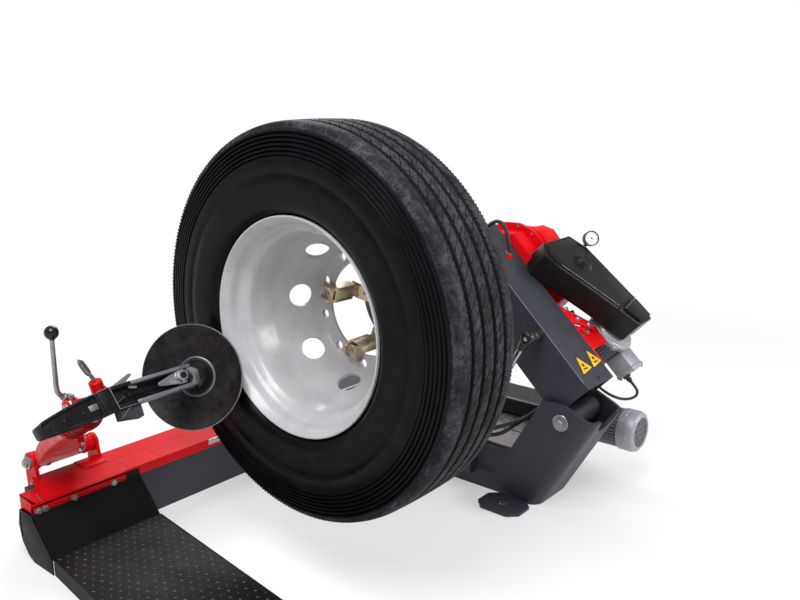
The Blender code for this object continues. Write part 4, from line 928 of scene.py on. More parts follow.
def build_belt_cover():
    """Moulded cover: drafted skirt, raised lid with a round boss, stepped nose over the motor."""
    outline = cover_outline()
    centre = (sum(p[0] for p in outline) / 10, sum(p[1] for p in outline) / 10)
    cover = Piece("belt_cover_shell", "chuck_arm", "cover", ("belt_cover",), ARM)

    def level(factor, w):
        return [(x, u, w) for x, u in rounded(scaled(outline, factor, centre), 0.005, 3)]

    rings = [level(0.985, 0.121), level(1.0, 0.1155), level(1.0, 0.118), level(0.994, 0.1985),
             level(0.99, 0.2015), level(0.978, 0.2035), level(0.965, 0.204)]
    part = bmesh.new()
    made = [[part.verts.new(p) for p in ring] for ring in rings]
    under = [part.verts.new(p) for p in level(0.96, 0.1985)]
    made.insert(0, under)
    skin(part, made)
    part.faces.new(made[-1])
    part.faces.new(under)
    cover._take(part)
    cutter = Piece("cutter", "chuck_arm", "cover", (), ARM)
    cutter.prism(ring_points(0.152, 8, (0, 0), pi / 8), 0.05, 0.262, "X", 0)
    ring_cut = Piece("cutter", "chuck_arm", "cover", (), ARM)
    ring_cut.prism(ring_points(0.17, 16, (0, 0), pi / 16), 0.128, 0.148, "X", 0)
    cover.carve(cutter, ring_cut)

    # raised lid panel and the step down to the nose
    panel = [(0.04, -0.09), (0.07, -0.05), (0.226, -0.048), (0.276, -0.104), (0.318, -0.318), (0.2, -0.345),
             (0.112, -0.214), (0.056, -0.135)]
    cover.prism(rounded(panel, 0.005), 0.203, 0.2075, "Z", 0.0012)
    nose = [(0.214, -0.362), (0.318, -0.34), (0.328, -0.416), (0.25, -0.42)]
    cover.prism(rounded(nose, 0.005), 0.203, 0.2145, "Z", 0.0012)
    # round boss over the worm pulley, with its dimple
    cover.lathe([(0.206, 0), (0.206, 0.04), (0.2085, 0.0395), (0.219, 0.0275), (0.2225, 0.0245),
                 (0.223, 0.019), (0.221, 0.017), (0.221, 0)],
                ARM.inverted() @ basis(arm_point(WORM_X, WORM_U, 0), UP_W), 48)
    cover.done(30)

    # knock-out arch in the skirt, and the ridge lines of the moulding
    trim = Piece("belt_cover_ribs", "chuck_arm", "cover", (), ARM)
    a, b = Vector((0.098, -0.215, 0)), Vector((0.04, -0.13, 0))
    mid, along = (a * 0.55 + b * 0.45), (b - a).normalized()
    out = Vector((along.y, -along.x, 0))
    if out.dot(Vector((-1, -1, 0))) < 0:
        out = -out
    base = mid + out * 0.0006 + Vector((0, 0, 0.118))
    arch = [base + along * 0.02 * cos(t) + Vector((0, 0, 0.03 + 0.02 * sin(t)))
            for t in [pi * k / 12 for k in range(13)]]
    trim.tube([base + along * 0.02] + arch + [base - along * 0.02], 0.0012, 6, 0)
    for first, second in (((0.098, -0.215), (0.19, -0.35)), ((0.29, -0.098), (0.338, -0.33)),
                          ((0.19, -0.35), (0.24, -0.432)), ((0.04, -0.13), (0.098, -0.215)),
                          ((0.235, -0.035), (0.29, -0.098))):
        trim.tube([(*first, 0.201), (*second, 0.201)], 0.0018, 8, 0)
    trim.tube([(0.19, -0.35, 0.204), (0.334, -0.33, 0.204)], 0.003, 8, 0)
    trim.done()
    # thin bright lines along the lid's ridges and the nose step: painted highlights
    painted_highlights = Piece("belt_cover_edge_highlights", "chuck_arm", "edge", (), ARM)
    painted_highlights.tube([(0.238, -0.04, 0.2045), (0.287, -0.101, 0.2045), (0.331, -0.322, 0.2045)], 0.0012, 8, 0)
    painted_highlights.tube([(0.06, -0.138, 0.208), (0.114, -0.214, 0.208), (0.2, -0.343, 0.208)], 0.0009, 8, 0)
    painted_highlights.tube([(0.212, -0.36, 0.2145), (0.318, -0.338, 0.2145)], 0.0011, 8, 0)
    painted_highlights.done()


def finned(piece, low, high, radius, depth, count, matrix):
    """A round barrel with lengthwise cooling fins."""
    piece.lathe([(low, 0), (low, radius - depth), (high, radius - depth), (high, 0)], matrix, 64)
    for i in range(count):
        place = matrix @ spin(360.0 * i / count)
        piece.prism([(radius - depth - 0.002, -0.0022), (radius, -0.0011), (radius, 0.0011),
                     (radius - depth - 0.002, 0.0022)], low + 0.004, high - 0.004, "X", 0, place)


def build_chuck_motor():
    """Flange motor with cast fins, ring, terminal box and gland."""
    place = basis(arm_point(MOTOR_X, MOTOR_U, 0), UP_W, X_AXIS)
    motor = Piece("chuck_motor_shell", "chuck_arm", "motor", ("chuck_motor",))
    finned(motor, -0.1, 0.076, 0.077, 0.012, 40, place)
    motor.lathe([(0.066, 0), (0.066, 0.076), (0.07, 0.084), (0.074, 0.0855), (0.086, 0.0855), (0.089, 0.083),
                 (0.092, 0.076), (0.101, 0.07), (0.104, 0.055), (0.106, 0.04), (0.112, 0.038), (0.112, 0)],
                place, 72)
    for k in range(4):
        turn = spin(45 + 90 * k)
        motor.box((0.068, 0.07, -0.01), (0.086, 0.089, 0.01), 0.003, place @ turn)
    motor.done(30)
    fan = Piece("chuck_motor_fan_cover", "chuck_arm", "motor", ("motor_fan_cover",))
    fan_shell(fan, place, -0.1005, -0.148, 0.0795)
    fan.done(30)
    box_piece = Piece("terminal_box_shell", "chuck_arm", "motor", ("terminal_box",), ARM)
    box_piece.box((0.265, -0.516, -0.006), (0.343, -0.452, 0.067), 0.005)
    box_piece.box((0.2625, -0.53, -0.008), (0.345, -0.514, 0.069), 0.004)
    box_piece.box((0.276, -0.456, 0.0), (0.333, -0.443, 0.06), 0.003)
    box_piece.done(30)
    screws = Piece("terminal_box_screws", "chuck_arm", "zinc", (), ARM)
    for x in (0.27, 0.338):
        for w in (0.0, 0.061):
            screws.socket_screw((x, -0.5296, w), -Y_AXIS, 0.005)
    for k in range(4):
        turn = radians(45 + 90 * k)
        at = place @ Vector((0.086, 0.08 * cos(turn), 0.08 * sin(turn)))
        screws.at = STAY
        screws.bolt(at, UP_W, 0.006, False)
        screws.at = ARM
    screws.done()
    gland = Piece("motor_gland", "chuck_arm", "plastic")
    at = arm_point(0.28, -0.5303, 0.02)
    away = ARM_TURN @ -Y_AXIS
    gland.hexagon(at, away, 0.024, 0.008)
    gland.lathe([(0.007, 0), (0.007, 0.01), (0.018, 0.0095), (0.022, 0.0075), (0.028, 0.006), (0.028, 0)],
                basis(at, away), 24)
    gland.done()
    cable = Piece("motor_lead", "chuck_arm", "cable", ("motor_cable",))
    start, hole = at + away * 0.0263, arm_point(0.0565, -0.4, 0.002)
    cable.tube([start, start + away * 0.02, (0.276, -0.44, 0.323), (0.258, -0.447, 0.315),
                (0.23, -0.446, 0.312), (0.2, -0.435, 0.313), (0.17, -0.415, 0.322), (0.14, -0.385, 0.345),
                (0.115, -0.35, 0.382), (0.098, -0.318, 0.42), hole + Vector((0.022, 0, -0.002)), hole],
               0.0048, 16, 8)
    cable.done()


def fan_shell(piece, place, near, far, radius):
    """A pressed fan cover with a rolled edge and a grille of bars in its end."""
    step = 1 if far > near else -1
    deep = abs(far - near)
    piece.lathe([(near, 0.03), (near, radius - 0.003), (near + step * 0.002, radius),
                 (near + step * deep * 0.34, radius), (near + step * deep * 0.36, radius - 0.002),
                 (near + step * deep * 0.42, radius - 0.002), (near + step * deep * 0.44, radius),
                 (near + step * deep * 0.7, radius), (near + step * deep * 0.9, radius - 0.004),
                 (far, radius - 0.014), (far - step * 0.0015, radius - 0.02),
                 (far - step * 0.004, radius - 0.02), (far - step * 0.005, radius - 0.012),
                 (near + step * deep * 0.6, radius - 0.004), (near + step * 0.004, radius - 0.004),
                 (near + step * 0.004, 0.03)], place, 64)
    inner = radius - 0.018
    count = 10
    for i in range(count):
        offset = inner * (2 * (i + 0.5) / count - 1)
        reach = sqrt(max(inner ** 2 - offset ** 2, 0.0))
        a = place @ Vector((far - step * 0.003, offset, -reach))
        b = place @ Vector((far - step * 0.003, offset, reach))
        piece.tube([a, b], 0.0011, 8, 0)
    for i in range(5):
        offset = inner * (2 * (i + 0.5) / 5 - 1)
        reach = sqrt(max(inner ** 2 - offset ** 2, 0.0))
        a = place @ Vector((far - step * 0.0045, -reach, offset))
        b = place @ Vector((far - step * 0.0045, reach, offset))
        piece.tube([a, b], 0.001, 8, 0)


def build_motor_bracket():
    """Red motor bracket between arm and motor, with its slotted tab, bolts and spacer."""
    bracket = Piece("motor_bracket_plate", "chuck_arm", "red", ("motor_bracket",), ARM)
    bracket.box((0.0555, -0.47, 0.04), (0.0635, -0.23, 0.108), 0.002)
    bracket.box((0.06, -0.41, 0.08), (0.1985, -0.34, 0.0895), 0.002)
    bracket.prism([(0.062, -0.232), (0.062, -0.3), (0.15, -0.352), (0.15, -0.318)], 0.098, 0.1075, "Z", 0.002)
    bracket.box((0.064, -0.336, 0.05), (0.12, -0.322, 0.098), 0.003)
    bracket.rod((0.07, -0.3, 0.078), (0.14, -0.35, 0.078), 0.013, 24)
    bracket.done()
    bits = Piece("motor_bracket_bolts", "chuck_arm", "zinc", (), ARM)
    bits.bolt((0.078, -0.252, 0.1075), Z_AXIS, 0.008)
    bits.bolt((0.1, -0.3, 0.1075), Z_AXIS, 0.01)
    bits.bolt((0.134, -0.332, 0.1075), Z_AXIS, 0.008)
    bits.rod((0.1, -0.3, 0.06), (0.1, -0.3, 0.1), 0.005, 16)
    bits.rod((0.112, -0.352, 0.0895), (0.112, -0.352, 0.104), 0.007, 18)
    bits.done()
    spacer = Piece("motor_bracket_spacer", "chuck_arm", "brass", (), ARM)
    spacer.box((0.086, -0.276, 0.1075), (0.108, -0.264, 0.111), 0.001)
    spacer.done()


def build_gauge_and_hose():
    """Pressure gauge on its bent pipe, and the hose loop over the arm's top."""
    dial = arm_point(0.3, -0.084, 0.235)
    facing = Vector((-0.62, -0.72, 0.3)).normalized()
    place = basis(dial, facing)
    case = Piece("gauge_case", "chuck_arm", "black", ("pressure_gauge",))
    case.lathe([(-0.024, 0), (-0.024, 0.02), (-0.021, 0.0255), (-0.003, 0.0262), (0.001, 0.0272),
                (0.004, 0.0268), (0.0045, 0.0245), (0.001, 0.0235), (0.001, 0)], place, 56)
    case.done()
    face = Piece("gauge_face", "chuck_arm", "dial", (), place)
    face.lathe([(0.0011, 0), (0.0011, 0.0232), (0.0016, 0.0232), (0.0016, 0)], None, 48)
    face.done()
    marks = Piece("gauge_marks", "chuck_arm", "plastic", (), place)
    for k in range(25):
        turn = spin(-135 + 270 * k / 24)
        long = 0.0045 if k % 4 == 0 else 0.0025
        marks.box((0.0016, -0.0003, 0.0208 - long), (0.0019, 0.0003, 0.0208), 0, turn)
    marks.prism([(-0.001, -0.006), (0.001, -0.006), (0.0003, 0.0155), (-0.0003, 0.0155)], 0.002, 0.0024, "X",
                0, spin(-118))
    marks.lathe([(0.0016, 0), (0.0016, 0.0024), (0.0032, 0.002), (0.0032, 0)], None, 20)
    marks.done()
    pipe = Piece("gauge_stem", "chuck_arm", "brass", ("gauge_pipe",))
    pipe.tube([arm_point(0.3, -0.084, 0.06), arm_point(0.302, -0.084, 0.12), arm_point(0.304, -0.086, 0.17),
               arm_point(0.304, -0.085, 0.214)], 0.0048, 16)
    pipe.hexagon(arm_point(0.304, -0.085, 0.196), UP_W, 0.014, 0.012)
    pipe.done()
    hose = Piece("arm_hose_loop", "chuck_arm", "rubber", ("arm_hose",), ARM)
    route = [(-0.02, 0.115, 0.112), (-0.02, 0.115, 0.122), (-0.025, 0.112, 0.145), (-0.03, 0.1, 0.168),
             (-0.032, 0.078, 0.18), (-0.03, 0.052, 0.172), (-0.022, 0.026, 0.15), (-0.01, 0.006, 0.124),
             (-0.01, 0.004, 0.112)]
    hose.tube(route, 0.0065, 18, 8)
    hose.done()
    ends = Piece("arm_hose_ends", "chuck_arm", "zinc", (), ARM)
    for end in (route[0], route[-1]):
        ends.hexagon(Vector(end) + Vector((0, 0, -0.0018)), Z_AXIS, 0.019, 0.009)
    ends.done()


# ---------------------------------------------------------------- base
def build_cradle():
    """Pivot bolt of the folded cradle: washer and hexagon head, pin and nut."""
    bolt = Piece("cradle_pivot_bolt", "base", "zinc", ("pivot_pin",), moved((0, PIVOT.y, PIVOT.z)))
    bolt.lathe([(-0.1402, 0), (-0.1402, 0.0272), (-0.1412, 0.0278), (-0.144, 0.0278), (-0.145, 0.0268),
                (-0.145, 0)], None, 48)
    bolt.lathe([(-0.145, 0), (-0.145, 0.0195), (-0.1462, 0.02), (-0.1478, 0.0195), (-0.1478, 0)], None, 40)
    bolt.hexagon(Vector((-0.1478, 0, 0)), -X_AXIS, 0.026, 0.0105, 0.4)
    bolt.rod((-0.1402, 0, 0), (0.082, 0, 0), 0.0158, 32)
    bolt.hexagon(Vector((0.08, 0, 0)), X_AXIS, 0.034, 0.014, 0.2)
    bolt.done()


def build_pump():
    """Power unit's finned motor, grilled fan cover and the screws of its block."""
    place = moved(PUMP) @ basis((0, 0, 0), (0, -1, 0))
    motor = Piece("pump_motor_shell", "base", "motor", ("pump_motor",))
    finned(motor, 0.2802, 0.422, 0.068, 0.01, 36, place)
    motor.lathe([(0.2802, 0), (0.2802, 0.066), (0.295, 0.066), (0.298, 0.062), (0.298, 0)], place, 64)
    motor.box((-0.03, -0.03, 0), (0.03, 0.03, 0.012), 0.004,
              moved(PUMP) @ basis((0, -0.35, 0.06), (0, 0, 1)) @ spin(90, "Y"))
    motor.done(30)
    fan = Piece("pump_fan_shell", "base", "motor", ("pump_fan_cover",))
    fan_shell(fan, place, 0.4225, 0.4868, 0.0722)
    fan.done(30)
    # black fan behind the grille: the bars are its blades, and the solid disc is a painted shade sheet that
    # darkens the grille's gaps
    dark = Piece("pump_fan_blades_and_shade_disc", "base", "plastic")
    dark.lathe([(0.476, 0), (0.476, 0.053), (0.4795, 0.053), (0.4795, 0)], place, 40)
    for k in range(8):
        turn = spin(45 * k)
        dark.box((0.454, 0.01, -0.001), (0.4765, 0.05, 0.001), 0, place @ turn)
    dark.done()
    screws = Piece("pump_screws", "base", "zinc")
    for x in (-0.036, 0.036):
        for z in (-0.036, 0.02):
            screws.socket_screw(PUMP + Vector((x, -0.2797, z)), -Y_AXIS, 0.007)
    for k in range(4):
        a = radians(45 + 90 * k)
        screws.bolt(PUMP + Vector((0.064 * cos(a), -0.479, 0.064 * sin(a))), -Y_AXIS, 0.004, False)
    screws.done()


def build_floor_hoses():
    """Two dark hydraulic hoses from the pump block to the lift cylinder's side."""
    hoses = Piece("pump_hoses", "base", "rubber")
    for shift in (0.0, 0.026):
        hoses.tube([(0.17 + shift * 0.2, -0.235, 0.2305), (0.168 + shift * 0.2, -0.232, 0.262),
                    (0.13, -0.222, 0.286 + shift * 0.4), (0.06, -0.205, 0.276 + shift),
                    (-0.02, -0.195 - shift, 0.262 + shift), (-0.08, -0.17 - shift, 0.238 + shift),
                    (-0.11, -0.13, 0.205 + shift), (-0.116, -0.06, 0.182 + shift * 0.6)], 0.007, 14, 8)
    hoses.done()
    ends = Piece("pump_hose_ends", "base", "zinc")
    for shift in (0.0, 0.026):
        ends.hexagon((0.17 + shift * 0.2, -0.235, 0.229), Z_AXIS, 0.018, 0.012)
    ends.done()


def build_base_trim():
    """Washers on the foot plates, the cradle's weld and the wear strips' screws."""
    anchors = Piece("anchor_washers", "base", "zinc")
    for name in ("foot_plate_front", "foot_plate_rear", "foot_plate_rail", "foot_plate_corner"):
        low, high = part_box(name)
        centre = (low + high) / 2
        anchors.lathe([(0.0101, 0.0088), (0.0101, 0.0135), (0.0112, 0.014), (0.0116, 0.013),
                       (0.0116, 0.0088)], moved((centre.x, centre.y, 0)) @ spin(-90, "Y"), 28)
    anchors.done()
    # raised weld line where the cradle's skirt meets the beam
    weld = Piece("cradle_weld", "base", "powder_dark")
    weld.tube([(-0.1395, -0.062 - 0.02 * k, 0.0745 - 0.0004 * k) for k in range(4)], 0.0026, 8, 0)
    weld.done()
    screws = Piece("rail_strip_screws", "base", "steel")
    for name in ("rail_strip_front", "rail_strip_back"):
        low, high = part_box(name)
        for k in range(12):
            x = low.x + 0.05 + (high.x - low.x - 0.1) * k / 11
            screws.lathe([(0, 0), (0, 0.0034), (0.0006, 0.0032), (0.0006, 0)],
                         basis((x, (low.y + high.y) / 2, high.z), Z_AXIS), 14)
    screws.done()


# ---------------------------------------------------------------- carriage and step
STEP_NEAR_X, STEP_FAR_X = -1.365, -1.012
STEP_FRONT_Y = 0.536
STEP_DEPTH = 0.756
STEP_SLANT = 0.117         # how far the tread leans towards -X for each metre towards -Y
STUD_PITCH = 0.027


def build_carriage_trim():
    """Red flange over the rail, its seams, worn edges, bolts and the wiper strip."""
    top = 0.18
    red = Piece("carriage_flange", "carriage", "red")
    red.box((-1.359, 0.6325, 0.1745), (-1.06, 0.6362, 0.1795), 0.0015)
    red.box((-1.36, 0.631, 0.152), (-1.06, 0.6352, 0.17), 0.0015)
    red.box((-1.3625, 0.636, 0.152), (-1.3585, 0.69, 0.179), 0.0015)
    red.box((-1.132, 0.745, 0.18), (-1.056, 0.812, 0.183), 0.001)
    red.box((-1.348, 0.64, 0.118), (-1.344, 0.735, 0.1795), 0.0012)
    red.prism([(-1.348, 0.64), (-1.328, 0.64), (-1.296, 0.735), (-1.348, 0.735)], 0.1725, 0.1795, "Z", 0.001)
    red.done()
    seams = Piece("carriage_seams", "carriage", "red_dark")
    for x in (-1.19, -1.04, -0.925):
        seams.box((x, 0.64, top - 0.0002), (x + 0.0012, 0.735, top + 0.0003), 0)
    seams.box((-1.19, 0.735, top - 0.0002), (-0.66, 0.7362, top + 0.0003), 0)
    seams.done()
    wear = Piece("carriage_edge_wear", "carriage", "edge")
    wear.tube([(-1.33, 0.64, top + 0.0002), (-1.318, 0.69, top + 0.0002)], 0.0011, 8, 0)
    wear.tube([(-1.361, 0.642, 0.1788), (-1.361, 0.688, 0.1788)], 0.0009, 8, 0)
    wear.done()
    bolts = Piece("carriage_bolts", "carriage", "zinc")
    for x in (-1.345, -1.325, -1.235, -1.105):
        bolts.bolt((x, 0.631, 0.158), (0, -1, 0), 0.01, True, 0.2)
    bolts.done()
    strip = Piece("carriage_wiper", "carriage", "steel")
    strip.box((-0.74, 0.6335, 0.16), (-0.642, 0.64, 0.1795), 0.002)
    strip.done()


def build_step():
    """Checker plate studs on the step, with its side plate and rolled edges."""
    studs = Piece("step_studs", "carriage", "tread_dot")
    normal = Vector((0, 0, 1))
    for row in range(int(STEP_DEPTH / STUD_PITCH)):
        y = STEP_FRONT_Y - (0.016 + row * STUD_PITCH)
        shift = -STEP_SLANT * (STEP_FRONT_Y - y)
        for col in range(13):
            x = STEP_NEAR_X + 0.014 + 0.0262 * col + (0.0131 if row % 2 else 0) + shift
            if x > STEP_FAR_X + shift - 0.008:
                continue
            place = basis(Vector((x, y, 0.045)) + normal * 0.0036, normal, (0.0, -1.0, 0.0))
            place = place @ spin(45 if (row + col) % 2 else -45)
            ring = [(0.0, 0.0052 * cos(a), 0.0019 * sin(a)) for a in turns(8)]
            studs.loft([ring, [(0.0013, p[1] * 0.55, p[2] * 0.5) for p in ring]], place)
    studs.done(60)
    gusset = Piece("step_gusset", "carriage", "tread_plate")
    outline = [(0.7, 0.15), (0.712, 0.1), (0.7, 0.05), (0.67, 0.015), (0.64, 0.001), (0.532, 0.001),
               (0.532, 0.046), (0.636, 0.152)]
    gusset.prism(outline, -1.369, -1.3655, "X", 0.001)
    gusset.prism([(0.7, 0.15), (0.7, 0.06), (0.692, 0.06), (0.692, 0.15)], -1.369, -1.31, "X", 0.001)
    gusset.done()
    edge = Piece("step_rolled_edge", "carriage", "black")
    for x in (STEP_NEAR_X, STEP_FAR_X):
        edge.tube([(x, 0.53, 0.048), (x - STEP_SLANT * 0.75, -0.219, 0.048)], 0.0022, 8, 0)
    edge.tube([(x - 0.0885, -0.2192, 0.047) for x in (STEP_NEAR_X, STEP_FAR_X)], 0.0024, 8, 0)
    edge.done()


# ---------------------------------------------------------------- tool arm, levers, head
def build_tool_arm():
    """Red swing arm: hinge tube, tapering web, ribbed drum, lever clevises and the hanging latch pin."""
    drum = basis(HEAD, HEAD_AXIS)
    arm = Piece("tool_arm_casting", "tool_arm", "red", ("tool_arm",))
    hinge = moved(HINGE)
    arm.lathe([(-1.2555, 0.0108), (-1.2555, 0.024), (-1.2535, 0.0255), (-1.0645, 0.0255), (-1.0625, 0.024),
               (-1.0625, 0.0108)], hinge, 48)
    for x in (-1.2555, -1.22, -1.098, -1.076):
        arm.lathe([(x, 0.018), (x + 0.0005, 0.0275), (x + 0.003, 0.029), (x + 0.01, 0.029),
                   (x + 0.0125, 0.0275), (x + 0.013, 0.018)], hinge, 48)
    root = [(-0.09, -0.023), (0.05, -0.023), (0.05, 0.013), (-0.09, 0.013)]
    tip = [(-0.033, -0.03), (0.033, -0.03), (0.033, 0.03), (-0.033, 0.03)]
    start, end = Vector((-1.165, HINGE.y - 0.012, HINGE.z + 0.006)), HEAD + HEAD_AXIS * 0.14
    rings = []
    for k in range(9):
        t = k / 8
        ease = t * t * (3 - 2 * t)
        centre = start.lerp(end, t) + UP_DRUM * 0.012 * sin(pi * t)
        section = [Vector(a).lerp(Vector(b), ease) for a, b in zip(root, tip)]
        rings.append([centre + X_AXIS * p.x + UP_DRUM * p.y
                      for p in [Vector(q) for q in rounded(section, 0.007, 3)]])
    arm.loft(rings)
    arm.done(30)
    # the drum's ribs take the darker copy of the red enamel: painted shade
    ribs = Piece("drum_ribs", "tool_arm", "red_dark")
    ribs.lathe([(0.035, 0.0189), (0.035, 0.035), (0.037, 0.0365), (0.163, 0.0365), (0.165, 0.035),
                (0.165, 0.0189)], drum, 64)
    for at, size in ((0.05, 0.043), (0.064, 0.043), (0.084, 0.04), (0.104, 0.04), (0.124, 0.04),
                     (0.144, 0.04)):
        ribs.lathe([(at - 0.005, 0.02), (at - 0.004, size - 0.003), (at - 0.001, size), (at + 0.003, size),
                    (at + 0.006, size - 0.003), (at + 0.008, 0.02)], drum, 64)
    ribs.done()

    lugs = Piece("lever_clevises", "tool_arm", "red", (), LEVER_FRAME)
    for x in (0.016, 0.044):
        lugs.prism(rounded([(0.15, 0.024), (0.196, 0.024), (0.194, 0.07), (0.17, 0.074), (0.158, 0.06)],
                           0.006), x, x + 0.006, "X", 0.001)
    lugs.box((0.016, 0.15, 0.022), (0.128, 0.185, 0.034), 0.003)
    lugs.box((0.07, 0.14, 0.03), (0.09, 0.16, 0.052), 0.004)
    lugs.at = STAY
    lugs.rod((-1.206, 0.484, 0.498), (-1.22, 0.484, 0.55), 0.019, 32)
    lugs.done(40)
    nuts = Piece("lever_nuts", "tool_arm", "zinc")
    nuts.bolt((-1.196, 0.478, 0.52), (0.8, -0.3, 0.5), 0.011)
    nuts.bolt(LEVER_FRAME @ Vector((0.08, 0.14, 0.042)), -HEAD_AXIS, 0.008)
    nuts.bolt(LEVER_FRAME @ Vector((0.016, 0.175, 0.052)), -X_AXIS, 0.01)
    nuts.done()

    latch = Piece("latch_pin", "tool_arm", "zinc")
    latch.tube([(-1.296, 0.462, 0.462), (-1.293, 0.462, 0.44), (-1.285, 0.462, 0.404)], 0.0068, 18, 4)
    latch.lathe([(0, 0), (0, 0.0095), (0.006, 0.01), (0.014, 0.0092), (0.02, 0.0074), (0.02, 0)],
                basis((-1.288, 0.462, 0.418), (0.2, 0, -1)), 28)
    latch.tube([(-1.285, 0.462, 0.404), (-1.283, 0.46, 0.39), (-1.288, 0.455, 0.381), (-1.298, 0.452, 0.38)],
               0.0052, 14, 5)
    latch.done()
    tie = Piece("latch_bracket", "tool_arm", "red", (), LEVER_FRAME)
    tie.box((0.006, 0.16, -0.052), (0.026, 0.168, -0.01), 0.002)
    tie.done()

    pin = Piece("hinge_pin_end", "carriage", "zinc", ("tool_hinge_pin",), hinge)
    pin.lathe([(-1.286, 0), (-1.286, 0.012), (-1.284, 0.0135), (-1.278, 0.014), (-1.276, 0.02),
               (-1.2683, 0.0205), (-1.2683, 0.01), (-1.04, 0.01), (-1.039, 0)], None, 40)
    pin.done()
    nipple = Piece("hinge_nipple", "carriage", "brass", (), hinge)
    nipple.lathe([(-1.2925, 0), (-1.2925, 0.0022), (-1.29, 0.0034), (-1.2885, 0.0024), (-1.287, 0.0052),
                  (-1.2855, 0.0052), (-1.2855, 0)], None, 18)
    nipple.done()


def build_levers():
    """Ball lever and the flat release handle."""
    ball = Vector((-1.33, 0.484, 0.712))
    rod = Piece("ball_lever_rod", "ball_lever", "zinc", ("ball_lever",))
    rod.tube([(-1.3, 0.484, 0.521), (-1.318, 0.484, 0.533), (-1.33, 0.484, 0.552), (-1.3312, 0.484, 0.6),
              (-1.3305, 0.484, 0.7)], lambda t: 0.008 - 0.0018 * t, 20, 8)
    rod.hexagon((-1.306, 0.484, 0.524), (-0.75, 0, 0.6), 0.022, 0.012)
    rod.hexagon((-1.299, 0.484, 0.518), (0.2, 0, 1), 0.026, 0.014)
    rod.done()
    knob = Piece("ball_lever_knob", "ball_lever", "grip")
    knob.lathe([(-0.0185, 0), (-0.0185, 0.0085)] + [(-0.019 * cos(a), 0.019 * sin(a))
                                                    for a in [radians(28 + 6 * k) for k in range(25)]]
               + [(0.019, 0)], basis(ball, Z_AXIS), 48)
    knob.done()
    root, top = Vector((-1.216, 0.484, 0.54)), Vector((-1.262, 0.484, 0.62))
    release = Piece("release_handle", "release_lever", "zinc", ("release_lever",))
    release.tube([root, root + Vector((-0.006, 0, 0.014)), (root + top) / 2, top - (top - root) * 0.05],
                 0.0055, 16, 6)
    along = (top - root).normalized()
    side = along.cross(Y_AXIS).normalized()
    flat = []
    for k in range(9):
        t = k / 8
        width = 0.0085 * sqrt(max(0.0, 1 - (2 * t - 1) ** 4)) + 0.001
        at = root.lerp(top, 0.35 + 0.67 * t)
        flat.append([at + side * width * cos(a) + Y_AXIS * 0.0052 * sin(a) for a in turns(20)])
    release.loft(flat)
    release.hexagon(root - along * 0.004, along, 0.02, 0.009)
    release.done()


